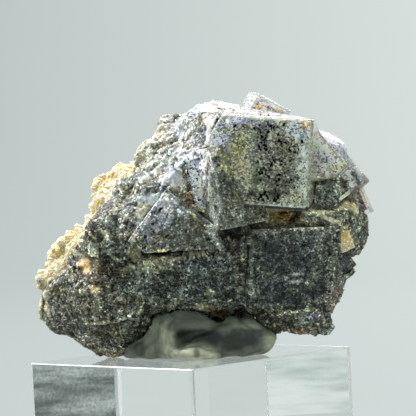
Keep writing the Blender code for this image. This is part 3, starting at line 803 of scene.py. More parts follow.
# Painted light and shade on the putty, as lit from the upper left: lighter curtain edge, ridge, low lobe,
# roll top and right end, darker fold, roll middle and left foot. The rest is its own grey-green.
TACK_TONES_AND_PAINTED_LIGHT = (
    # Painted light on the curtain's left edge and its ridge; this patch and the next.
    Patch((-9.0, -12.0, 3.5), (6.5, 9.0, 8.0), "#7f826f", 0.9),
    Patch((-4.6, -13.0, 4.0), (2.2, 7.0, 6.5), "#b3b59e", 0.85),
    # Painted light on the low lobe.
    Patch((1.6, -16.0, 1.5), (7.4, 7.0, 2.3), "#d9d9bd", 0.95),
    # Painted shade in the fold under the roll; this patch and the next.
    Patch((-2.5, -13.0, 7.4), (3.4, 7.0, 1.6), "#4c5046", 0.8),
    Patch((-1.0, -14.0, 4.5), (2.9, 7.0, 1.4), "#101209", 0.9),
    # Painted shade at the left foot.
    Patch((-11.4, -12.0, 2.8), (2.3, 9.0, 3.0), "#33352a", 0.8),
    Patch((0.8, -13.0, 8.6), (3.8, 7.0, 2.6), "#5c6056", 0.9),
    # Painted shade on the roll's lower middle and in the fold; this patch and the next two.
    Patch((9.8, -14.0, 3.8), (8.6, 7.0, 3.9), "#20231c", 0.92),
    Patch((-0.4, -14.0, 5.4), (3.2, 7.0, 1.7), "#0c0e0a", 0.9),
    Patch((2.4, -14.0, 5.3), (5.2, 7.0, 2.1), "#1b1d18", 0.92),
    # Painted light on the right end and along the roll's top; this patch and the next.
    Patch((18.4, -12.0, 2.4), (3.0, 7.0, 3.4), "#adaf94", 0.85),
    Patch((13.2, -12.0, 7.3), (5.4, 7.0, 1.5), "#8f9380", 0.85),
    Patch((17.0, -13.0, 0.5), (5.0, 7.0, 0.5), "#8a6433", 0.6),
    Patch((1.6, -16.5, 1.9), (0.9, 4.0, 1.2), "#5d604f", 0.8),
)


@dataclass(frozen=True)
class Fold:
    """A fold of the tack along a path of x and z: how deep it is pressed in, and its width.

    A fold with a depth below zero stands out.
    """

    path: tuple
    depth: float
    width: float


TACK_FOLDS = (
    Fold(((7.0, 8.6), (4.6, 7.2), (0.4, 5.6), (-2.4, 4.3), (1.6, 3.8), (5.4, 2.6), (10.0, 0.8)),
         1.3, 1.2),
    Fold(((-2.0, 9.6), (-3.9, 5.6), (-3.4, 2.0)), -0.45, 0.8),
    Fold(((-7.5, 7.0), (-9.0, 3.0), (-10.5, 0.0)), 0.5, 0.7),
    Fold(((11.5, 8.2), (15.2, 6.2), (17.6, 3.0)), 0.35, 0.45),
    Fold(((12.0, 6.2), (15.0, 4.6), (16.4, 2.6)), 0.25, 0.4),
    Fold(((-0.5, 1.9), (3.0, 2.1), (6.5, 1.5)), -0.8, 1.3),
    Fold(((18.2, 2.2), (19.0, 3.4)), -0.9, 1.6),
    Fold(((-14.0, 0.8), (-12.2, 1.4)), -1.1, 1.2),
    Fold(((10.0, 1.2), (16.5, 1.2)), -0.8, 1.3),
)


@dataclass(frozen=True)
class Cube:
    """A grown cube: its box, its cuts, and how far inside its faces the stone behind it stands.

    A cut is a point of its plane and the direction that is taken away. The rind is given for the
    left, right, front, back, lower and upper faces; a negative one runs on into the stone. The bond
    is how far the rock runs on over each of these faces' edges, which hides the seam there. Heart and
    rim are the tones of its middle and of the middle's edges, where the window cube's pale rim is a
    painted highlight. The gain brightens both, as painted light for the light that the clear rind
    keeps from the heart.
    """

    name: str
    centre: Point
    size: Point
    turn: Point
    cuts: tuple = ()
    rind: tuple = (0.4, 0.4, 0.4, -0.6, 0.4, 0.4)
    heart: str = "#c2c5be"
    rim: str = "#d8d6c8"
    gain: float = 1.2
    frosted: bool = False
    bond: tuple = (0.0,) * 6

    @property
    def place(self) -> Matrix:
        """The cube's turn and place from the seat, in millimetres."""
        turn = Euler([math.radians(angle) for angle in self.turn]).to_matrix().to_4x4()
        return Matrix.Translation(Vector(self.centre)) @ turn

    def body(self, seat: float, swell: float = 0.0, rind: tuple = (0.0,) * 6) -> Mesh:
        """Makes the cube as a closed mesh.

        Args:
            seat: the height of the block's top.
            swell: how far every face stands out past the cube, in millimetres.
            rind: how far each face stands in, in millimetres.

        Returns:
            The mesh.
        """
        bm = bmesh.new()
        bmesh.ops.create_cube(bm, size=1.0)
        half = Vector(self.size) / 2
        for vertex in bm.verts:
            for axis in range(3):
                side = 2 * axis + (vertex.co[axis] > 0)
                reach = half[axis] + swell - rind[side]
                vertex.co[axis] = math.copysign(reach, vertex.co[axis])
        bmesh.ops.transform(bm, matrix=self.place, verts=bm.verts)
        for point, away in self.cuts:
            inwards = max(rind[2], 0.0) * 0.6 - swell
            cut = bmesh.ops.bisect_plane(
                bm, geom=bm.verts[:] + bm.edges[:] + bm.faces[:],
                plane_co=Vector(point) - Vector(away).normalized() * inwards, plane_no=Vector(away),
                clear_outer=True, dist=1e-5)
            rim = [e for e in cut["geom_cut"] if isinstance(e, bmesh.types.BMEdge)]
            if rim:
                bmesh.ops.contextual_create(bm, geom=rim)
        for vertex in bm.verts:
            vertex.co = seat_point(vertex.co, seat)
        bmesh.ops.recalc_face_normals(bm, faces=bm.faces)
        return made_mesh(bm, self.name)


WINDOW = Cube("window_cube", (18.6, -10.1, 43.35), (22.0, 20.0, 19.9), turn=(6.0, 7.0, -7.0),
              cuts=(((8.6, -20.0, 51.6), (-0.84, 0.0, 0.54)),
                    ((28.7, -20.8, 51.1), (0.15, 0.16, 0.98))),
              rind=(0.12, 0.6, 0.4, -1.0, 0.6, 0.4), heart="#a6a690", rim="#e6ecdf", gain=1.54)
CLEAR_CUBES = (
    WINDOW,
    Cube("shoulder_cube", (27.8, -3.5, 41.1), (12.0, 13.0, 13.0), turn=(0.0, 52.0, 4.0),
         cuts=(((33.0, -10.0, 38.2), (0.15, -0.1, -1.0)),), rind=(-1.0, 0.5, 0.4, -1.0, -1.0, 0.5),
         heart="#cfcec8", rim="#c9b96e", gain=1.62),
    Cube("ghost_cube", (30.2, 7.0, 42.6), (13.0, 12.0, 12.0), turn=(4.0, 24.0, -6.0),
         cuts=(((36.0, 0.0, 46.9), (0.88, 0.0, 0.47)),), rind=(-1.0, 0.7, 0.8, 2.0, -1.0, 1.0),
         heart="#d8d6e2", rim="#d8d6e2", gain=1.12, frosted=True),
    Cube("upper_sliver", (33.9, 4.0, 37.9), (10.8, 11.0, 10.4), turn=(0.0, 52.0, 10.0),
         rind=(1.0, 0.9, 1.0, 2.0, -1.0, 0.9), heart="#dfe0dc", rim="#8b9186", gain=1.4,
         frosted=True),
    Cube("lower_sliver", (36.9, 5.5, 32.4), (9.0, 10.0, 9.0), turn=(0.0, -21.0, -8.0),
         rind=(-1.0, 0.6, 1.0, 2.0, 1.0, 1.0), heart="#cdb8a8", rim="#5d5b50", gain=1.25,
         frosted=True),
    Cube("glassy_cube", (34.6, -4.0, 19.2), (3.7, 6.0, 4.1), turn=(0.0, -35.0, 12.0),
         rind=(-1.0, 0.8, 1.0, 1.0, 1.0, 0.8), heart="#59666a", rim="#1a2226", gain=1.1),
    Cube("crest_cube", (18.5, 9.0, 52.0), (9.0, 9.0, 9.4), turn=(4.0, 30.0, 12.0),
         cuts=(((15.2, 8.0, 57.6), (-0.85, 0.0, 0.5)),), rind=(0.6, 0.7, 0.8, 1.0, -1.0, 0.6),
         heart="#e4e2e0", rim="#efe2c8", gain=1.42, frosted=True),
)
SHARDS = (
    Cube("gold_shard", (34.7, -8.7, 24.0), (3.4, 3.6, 4.2), turn=(0.0, -20.0, 25.0),
         rind=(0.0,) * 6, heart="#cdbb8d", rim="#efe3c0"),
    Cube("pale_flake", (35.2, -4.8, 33.5), (4.4, 0.8, 0.8), turn=(0.0, -32.0, 10.0),
         rind=(0.0,) * 6, heart="#e4e3d2", rim="#c9c49c"),
    Cube("crystal_chip", (38.4, -1.2, 29.4), (1.6, 1.6, 4.6), turn=(0.0, -14.0, 20.0),
         rind=(0.0,) * 6, heart="#c9b4a0", rim="#f0d9c4", gain=1.1),
)
STONY_CUBES = (
    Cube("ridge_cube", (10.0, -11.2, 37.4), (10.5, 15.0, 18.0), turn=(-4.0, -8.0, 22.0),
         bond=(0.0, 0.0, 0.0, 0.0, 0.5, 0.0)),
    Cube("corner_cube", (-1.0, -10.0, 26.1), (18.0, 14.0, 13.8), turn=(-4.0, 39.6, 0.0),
         cuts=(((0.0, -17.0, 24.0), (0.0, 0.15, -1.0)), ((5.9, -17.0, 28.5), (0.85, -0.5, 0.28)))),
    Cube("dark_cube", (22.6, -3.8, 19.9), (20.2, 22.0, 16.8), turn=(3.0, 1.0, 8.0),
         cuts=(((33.0, -14.0, 21.0), (0.93, -0.05, -0.35)),), bond=(1.1, 0.0, 0.0, 0.0, 0.6, 0.5)),
)


@dataclass
class Weathering:
    """How a stone skin is broken up, in millimetres: tilted facets, grains and pits with frayed rims.

    The face share is how much of this a smooth cube face shows.
    """

    facet: float = 3.4
    facet_tilt: float = 0.26
    chip: float = 1.4
    chip_tilt: float = 0.34
    grain: float = 0.8
    grain_height: float = 0.11
    pit: float = 0.95
    pit_share: float = 0.36
    pit_depth: float = 0.35
    face_share: float = 0.25
    fray: float = 0.55
    fray_reach: float = 1.6

    def sizes(self) -> dict:
        """Names the sizes for the node tree.

        Returns:
            Each named input's value, with lengths in metres.
        """
        return {"Facet": self.facet * MM, "Facet tilt": self.facet_tilt, "Chip": self.chip * MM,
                "Chip tilt": self.chip_tilt, "Grain": self.grain * MM,
                "Grain height": self.grain_height * MM, "Pit": self.pit * MM,
                "Pit share": self.pit_share, "Pit depth": self.pit_depth * MM,
                "Face share": self.face_share}

    def tree(self) -> NodeTree:
        """Builds the node tree that breaks up a skin.

        Facets and chips tilt the skin cell by cell, grains roughen it, pits sink into it, and the
        stored lift raises the ridges. Each point's first place and its share of a pit stay stored,
        as rest and pit, for the material.

        Returns:
            The tree, whose named inputs are these sizes.
        """
        tree, given = new_group("weathering", self.sizes())
        place = add_node(tree, "GeometryNodeInputPosition")
        normal = add_node(tree, "GeometryNodeInputNormal")
        flat = add_node(tree, "GeometryNodeInputNamedAttribute", {"Name": "flat"}, data_type="FLOAT")
        broken = None
        for label in ("Facet", "Chip"):
            scale = add_node(tree, "ShaderNodeMath", {0: 1.0, 1: given.outputs[label]},
                             operation="DIVIDE")
            cells = add_node(tree, "ShaderNodeTexVoronoi", {"Vector": place, "Scale": scale})
            away = add_node(tree, "ShaderNodeVectorMath", {0: place, 1: cells.outputs["Position"]},
                            operation="SUBTRACT")
            lean = add_node(tree, "ShaderNodeVectorMath",
                            {0: cells.outputs["Color"], 1: (0.5, 0.5, 0.5)}, operation="SUBTRACT")
            rise = add_node(tree, "ShaderNodeVectorMath", {0: away, 1: lean}, operation="DOT_PRODUCT")
            height = add_node(tree, "ShaderNodeMath",
                              {0: rise.outputs["Value"], 1: given.outputs[label + " tilt"]},
                              operation="MULTIPLY")
            if broken is not None:
                height = add_node(tree, "ShaderNodeMath", {0: broken, 1: height})
            broken = height
        grain_scale = add_node(tree, "ShaderNodeMath", {0: 1.0, 1: given.outputs["Grain"]},
                               operation="DIVIDE")
        noisy = add_node(tree, "ShaderNodeTexNoise",
                         {"Vector": place, "Scale": grain_scale, "Detail": 2.0})
        grains = add_node(tree, "ShaderNodeMapRange",
                          {"Value": noisy.outputs[0], "From Min": 0.3, "From Max": 0.7, "To Min": -1.0,
                           "To Max": 1.0})
        grain_height = add_node(tree, "ShaderNodeMath", {0: grains, 1: given.outputs["Grain height"]},
                                operation="MULTIPLY")
        rough = add_node(tree, "ShaderNodeMath", {0: broken, 1: grain_height})
        kept = add_node(tree, "ShaderNodeMapRange",
                        {"Value": flat, "To Min": 1.0, "To Max": given.outputs["Face share"]})
        skin = add_node(tree, "ShaderNodeMath", {0: rough, 1: kept}, operation="MULTIPLY")
        pit_scale = add_node(tree, "ShaderNodeMath", {0: 1.0, 1: given.outputs["Pit"]},
                             operation="DIVIDE")
        ragged = add_node(tree, "ShaderNodeTexNoise",
                          {"Vector": place, "Scale": 1.0 / (self.fray * MM), "Detail": 1.0})
        shaken = add_node(tree, "ShaderNodeVectorMath",
                          {0: ragged.outputs["Color"], 1: (0.5, 0.5, 0.5)}, operation="SUBTRACT")
        shift = add_node(tree, "ShaderNodeVectorMath", {0: shaken, "Scale": self.fray_reach * MM},
                         operation="SCALE")
        bent = add_node(tree, "ShaderNodeVectorMath", {0: place, 1: shift})
        holes = add_node(tree, "ShaderNodeTexVoronoi", {"Vector": bent, "Scale": pit_scale})
        chance = add_node(tree, "FunctionNodeSeparateColor", {0: holes.outputs["Color"]})
        chosen = add_node(tree, "ShaderNodeMath", {0: chance.outputs[1], 1: given.outputs["Pit share"]},
                          operation="LESS_THAN")
        reach = add_node(tree, "ShaderNodeMapRange",
                         {"Value": chance.outputs[2], "To Min": 0.2, "To Max": 0.46})
        core = add_node(tree, "ShaderNodeMath", {0: reach, 1: 0.6}, operation="MULTIPLY")
        hollow = add_node(tree, "ShaderNodeMapRange",
                          {"Value": holes.outputs["Distance"], "From Min": reach, "From Max": core})
        pit = add_node(tree, "ShaderNodeMath", {0: chosen, 1: hollow}, operation="MULTIPLY")
        sunk = add_node(tree, "ShaderNodeMath", {0: pit, 1: given.outputs["Pit depth"]},
                        operation="MULTIPLY")
        worn = add_node(tree, "ShaderNodeMath", {0: skin, 1: sunk}, operation="SUBTRACT")
        ridge = add_node(tree, "GeometryNodeInputNamedAttribute", {"Name": "lift"}, data_type="FLOAT")
        height = add_node(tree, "ShaderNodeMath", {0: worn, 1: ridge})
        push = add_node(tree, "ShaderNodeVectorMath", {0: normal, "Scale": height}, operation="SCALE")
        kept_place = add_node(tree, "GeometryNodeStoreNamedAttribute",
                              {"Geometry": given.outputs[0], "Name": "rest", "Value": place},
                              data_type="FLOAT_VECTOR")
        kept_pit = add_node(tree, "GeometryNodeStoreNamedAttribute",
                            {"Geometry": kept_place, "Name": "pit", "Value": pit}, data_type="FLOAT")
        moved = add_node(tree, "GeometryNodeSetPosition", {"Geometry": kept_pit, "Offset": push})
        add_node(tree, "NodeGroupOutput", {0: moved})
        return tree

    def apply(self, mesh: Mesh) -> Mesh:
        """Weathers a skin, which is used up, and returns it."""
        return grown(link_piece("skin", mesh), self.tree(), self.sizes())


def store(mesh: Mesh, name: str, values: np.ndarray) -> None:
    """Stores one number, or one colour of four, for each point of a mesh.

    Args:
        mesh: the mesh.
        name: the attribute's name.
        values: one row for each point.
    """
    values = np.asarray(values, dtype=np.float32)
    if values.ndim == 1:
        mesh.attributes.new(name, "FLOAT", "POINT").data.foreach_set("value", values)
    else:
        mesh.attributes.new(name, "FLOAT_COLOR", "POINT").data.foreach_set("color", values.ravel())


def vectors(mesh: Mesh, name: str) -> np.ndarray:
    """Reads a mesh's places or normals.

    Args:
        mesh: the mesh.
        name: position or normal.

    Returns:
        One row for each point.
    """
    flat = np.empty(3 * len(mesh.vertices), dtype=np.float32)
    if name == "position":
        mesh.vertices.foreach_get("co", flat)
    else:
        mesh.vertex_normals.foreach_get("vector", flat)
    return flat.reshape(-1, 3)


def from_seat(mesh: Mesh, seat: float) -> np.ndarray:
    """A mesh's places in millimetres from the seat, one row for each point."""
    return (vectors(mesh, "position") - np.array((0.0, 0.0, seat))) / MM


def relief(mesh: Mesh, rounds: int) -> np.ndarray:
    """How far each point stands out from its surroundings, in millimetres.

    Args:
        mesh: the mesh.
        rounds: how many times the surroundings are averaged, which sets how far they reach.

    Returns:
        One height for each point, below zero in a hollow.
    """
    ends = np.empty(2 * len(mesh.edges), dtype=np.int32)
    mesh.edges.foreach_get("vertices", ends)
    first, second = ends.reshape(-1, 2).T
    count = len(mesh.vertices)
    neighbours = np.bincount(first, minlength=count) + np.bincount(second, minlength=count)
    start = vectors(mesh, "position").astype(np.float64)
    smooth = start.copy()
    for _ in range(rounds):
        total = np.stack([np.bincount(first, smooth[second, axis], count)
                          + np.bincount(second, smooth[first, axis], count) for axis in range(3)], axis=1)
        smooth = 0.5 * smooth + 0.5 * total / np.maximum(neighbours, 1)[:, None]
    return np.sum((start - smooth) * vectors(mesh, "normal"), axis=1) / MM


def skinned(mesh: Mesh, cell: float) -> Mesh:
    """Gives overlapping solids one even skin.

    Args:
        mesh: the solids, which are used up.
        cell: the size of the skin's faces, in millimetres.

    Returns:
        The skin.
    """
    piece = link_piece("skin", mesh)
    skin = piece.modifiers.new("skin", "REMESH")
    skin.mode = "VOXEL"
    skin.voxel_size = cell * MM
    return settled(piece)


def wobble(points: np.ndarray, size: float) -> np.ndarray:
    """Smooth noise about zero at points in millimetres, with swells of a size."""
    return np.array([noise.noise(Vector(point) / size) for point in points])


@dataclass
class Colouring:
    """A base tone and the patches, veins and pits on it, with ragged borders.

    The crust grows along a line at the back left, within its reach and behind its front.
    """

    seat: float
    base: str
    patches: tuple
    ragged: float = 0.45
    swell: float = 2.4
    gain: float = 1.0
    soft: float = 0.4
    crust_line: tuple = ()
    crust_reach: float = 10.5
    crust_front: float = 1.0
    crust_stir: float = 3.0
    vein_share: float = 0.85
    veins: tuple = ()
    pits: tuple = ()

    def crust(self, points: np.ndarray, stir: np.ndarray) -> np.ndarray:
        """How much each point is covered by the yellow crust.

        Args:
            points: places in millimetres from the seat.
            stir: noise for each point, which makes the border ragged.

        Returns:
            One share for each point, from 0 to 1.
        """
        if not self.crust_line:
            return np.zeros(len(points))
        off = path_gap(points, self.crust_line)
        near = smooth_step((self.crust_reach - off + stir * self.crust_stir) / 1.2)
        behind = smooth_step((points[:, 1] - self.crust_front + stir * self.crust_stir) + 0.5)
        return near * behind

    def paint(self, mesh: Mesh) -> None:
        """Stores what the materials and the grains read: tint, lift, crust, grit and pits.

        Args:
            mesh: the mesh to colour.
        """
        points = from_seat(mesh, self.seat)
        stir = wobble(points, self.swell) + 0.6 * wobble(points, self.swell * 0.38)
        tint = np.tile(np.array(linear(self.base)), (len(points), 1))
        crust = self.crust(points, stir)
        tint += crust[:, None] * (np.array(linear(CRUST)) - tint)
        for patch in self.patches:
            share = patch.cover(points, self.ragged * stir, self.soft)
            tint += share[:, None] * (np.array(linear(patch.tone)) - tint)
        lift = np.zeros(len(points))
        for vein in self.veins:
            share = vein.cover(points, stir)
            tint += self.vein_share * share[:, None] * (np.array(linear(vein.tone)) - tint)
            lift = np.maximum(lift, share * vein.lift * MM)
        store(mesh, "lift", lift)
        tint[:, :3] *= self.gain
        store(mesh, "tint", tint)
        store(mesh, "crust", crust)
        store(mesh, "grit", 1.0 - crust)
        if self.pits:
            deep = np.max([pit.cover(points, 0.8 * stir) for pit in self.pits], axis=0)
            store(mesh, "pits", deep)


@dataclass
class Edges:
    """Finds how near the points of a skin are to the wide flat faces and sharp edges of a solid.

    A face is wide from the flat area on, in square millimetres, and an edge is sharp from the
    sharp angle on, in degrees. The reaches and the spacing of the marks are in millimetres.
    """

    source: Mesh
    seat: float
    flat_area: float = 14.0
    flat_angle: float = 0.6
    sharp_angle: float = 35.0
    flat_reach: float = 0.5
    edge_reach: float = 0.6
    mark_spacing: float = 0.3

    def mark(self, mesh: Mesh) -> None:
        """Stores the nearness to a flat face as flat, and to a sharp edge as rim, from 0 to 1.

        Args:
            mesh: the skin.
        """
        bm = bmesh.new()
        bm.from_mesh(self.source)
        bmesh.ops.dissolve_limit(bm, angle_limit=math.radians(self.flat_angle), verts=bm.verts,
                                 edges=bm.edges)
        bm.faces.ensure_lookup_table()
        areas = [face.calc_area() / MM ** 2 for face in bm.faces]
        tree = BVHTree.FromBMesh(bm)
        spots = []
        for edge in bm.edges:
            if len(edge.link_faces) < 2 or not edge.is_convex:
                continue
            wide = min(areas[face.index] for face in edge.link_faces)
            if wide < self.flat_area or edge.calc_face_angle() < math.radians(self.sharp_angle):
                continue
            start, end = [vertex.co for vertex in edge.verts]
            count = max(2, int((end - start).length / (self.mark_spacing * MM)))
            spots += [start.lerp(end, i / count) for i in range(count + 1)]
        rims = KDTree(max(1, len(spots)))
        for index, spot in enumerate(spots):
            rims.insert(spot, index)
        rims.balance()
        flat = np.zeros(len(mesh.vertices))
        rim = np.zeros(len(mesh.vertices))
        for index, vertex in enumerate(mesh.vertices):
            _, _, face, distance = tree.find_nearest(vertex.co)
            if areas[face] > self.flat_area:
                flat[index] = 1.0 - distance / MM / self.flat_reach
            if spots:
                rim[index] = 1.0 - rims.find(vertex.co)[2] / MM / self.edge_reach
        bm.free()
        points = from_seat(mesh, self.seat)
        for centre, reach in LEVEL_PLACES:
            off = np.linalg.norm((points - np.array(centre)) / np.array(reach), axis=1)
            flat = np.maximum(flat, 2.0 * (1.0 - off))
        store(mesh, "flat", smooth_step(flat * 1.5))
        store(mesh, "rim", smooth_step(rim))


def merged_copy(node: Object) -> Mesh:
    """Copies a node's mesh and merges its loose triangles.

    Args:
        node: the CAD node, which stays as it is.

    Returns:
        The copy.
    """
    bm = bmesh.new()
    bm.from_mesh(node.data)
    bmesh.ops.remove_doubles(bm, verts=bm.verts, dist=0.001 * MM)
    return made_mesh(bm, node.name)


@dataclass
class Stone:
    """The host rock and its stony cubes, made from the specimen's own solid and weathered.

    The kerf is cut round each cube, so that no two faces coincide, and behind a heart the rock
    stands back a little. Lengths are in millimetres.
    """

    seat: float
    rock_cell: float = 0.38
    cube_cell: float = 0.26
    kerf: float = 0.05
    behind_hearts: float = 0.35
    most_triangles: int = 194000
    near_rounds: int = 5
    far_rounds: int = 40
    source: Mesh = field(init=False)

    def carved(self, mesh: Mesh) -> Mesh:
        """Cuts the cubes out of the rock, and fills each with a core that stays inside it.

        Args:
            mesh: the rock's solid, which is used up.

        Returns:
            The carved rock and the cores, overlapping.
        """
        rock = link_piece("rock", mesh)
        cutters = bpy.data.collections.new("cubes")
        for cube in CLEAR_CUBES + SHARDS + STONY_CUBES:
            body = cube.body(self.seat, swell=self.kerf, rind=cube.bond)
            cutters.objects.link(bpy.data.objects.new(cube.name, body))
        cut = rock.modifiers.new("cut", "BOOLEAN")
        cut.operation = "DIFFERENCE"
        cut.operand_type = "COLLECTION"
        cut.collection = cutters
        cut.solver = "EXACT"
        mesh = settled(rock)
        for cutter in list(cutters.objects):
            bpy.data.objects.remove(cutter)
        bpy.data.collections.remove(cutters)
        bm = bmesh.new()
        bm.from_mesh(mesh)
        for cube in CLEAR_CUBES + SHARDS + STONY_CUBES:
            inside = tuple(gap if gap < 0 else gap + self.behind_hearts for gap in cube.rind)
            bm.from_mesh(cube.body(self.seat, rind=inside))
        bm.to_mesh(mesh)
        bm.free()
        return mesh

    def thinned(self, mesh: Mesh) -> Mesh:
        """Brings a mesh under the most triangles that a piece may have.

        Args:
            mesh: the mesh, which may be used up.

        Returns:
            The mesh, thinned where it needs to be.
        """
        triangles = sum(len(polygon.vertices) - 2 for polygon in mesh.polygons)
        if triangles <= self.most_triangles:
            return mesh
        piece = link_piece("thin", mesh)
        thin = piece.modifiers.new("thin", "DECIMATE")
        thin.ratio = self.most_triangles / triangles
        return settled(piece)

    def finished(self, name: str, mesh: Mesh, weathering: Weathering, colouring: Colouring,
                 finish: Material) -> Object:
        """Marks, colours, weathers and dresses one skin.

        Args:
            name: the piece's name.
            mesh: the skin, which is used up.
            weathering: how it is broken up.
            colouring: its colours.
            finish: its material.

        Returns:
            The piece.
        """
        Edges(self.source, self.seat).mark(mesh)
        colouring.paint(mesh)
        mesh = self.thinned(weathering.apply(mesh))
        # The relief also sets the finish's painted shade in hollows and painted highlight on ridges.
        store(mesh, "relief", relief(mesh, self.near_rounds) + 0.4 * relief(mesh, self.far_rounds))
        dress(mesh, finish)
        return specimen_piece(name, mesh)

    def build(self, node: Object) -> Object:
        """Makes the rock and its stony cubes from the specimen's node.

        Args:
            node: the specimen's own node.

        Returns:
            The host rock.
        """
        self.source = merged_copy(node)
        finish = StoneFinish().material("peppered_fluorite_rock")
        skin = skinned(self.carved(self.source.copy()), self.rock_cell)
        colours = Colouring(self.seat, STONE, STONE_TONES_AND_PAINTED_LIGHT, crust_line=CRUST_LINE,
                            veins=VEINS + FILLETS, pits=RIDGE_PITS)
        rock = self.finished("host_rock", skin, Weathering(), colours, finish)
        black = INCLUSIONS.material("black_ridge_inclusions")
        Scatter("rock_inclusions", "pits", per_mm2=6.0, smallest=0.35, largest=0.95, seed=19,
                sunk=0.15, shape=GrainShape.SPLINTER).build(rock, black)
        face = Weathering(facet_tilt=0.10, chip_tilt=0.16, grain_height=0.07, pit_share=0.42,
                          pit_depth=0.5, pit=1.15, face_share=0.4)
        pale = StoneFinish(rim="#c3c6c4", rim_share=0.4, veins=0.2, contrast=0.75,
                           calm=0.65).material("peppered_cube_faces")
        dark = StoneFinish(rim="#8f9490", rim_share=0.0, veins=0.4, contrast=0.9, stain=0.1,
                           pepper=0.28).material("dark_cube_faces")
        for cube in STONY_CUBES:
            finish = dark if cube.name == "dark_cube" else pale
            colours = Colouring(self.seat, STONE, CUBE_TONES_AND_PAINTED_LIGHT, ragged=0.8, gain=1.08, soft=0.8,
                                veins=VEINS + PAINTED_CUBE_EDGE_LIGHT_AND_SHADE, pits=RIDGE_PITS)
            skin = skinned(cube.body(self.seat), self.cube_cell)
            piece = self.finished(cube.name, skin, face, colours, finish)
            if finish is pale:
                name = cube.name.replace("cube", "inclusions")
                Scatter(name, "pits", per_mm2=3.2, smallest=0.3, largest=1.0, seed=17,
                        shape=GrainShape.SPLINTER).build(piece, black)
        return rock


def specimen_piece(name: str, mesh: Mesh) -> Object:
    """Links a piece that stands for the specimen's solid.

    Args:
        name: the piece's name.
        mesh: its dressed mesh.

    Returns:
        The piece.
    """
    log.info("%s: %d faces", name, len(mesh.polygons))
    piece = link_piece(name, mesh)
    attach(piece, "root")
    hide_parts("fluorite_specimen")
    return piece


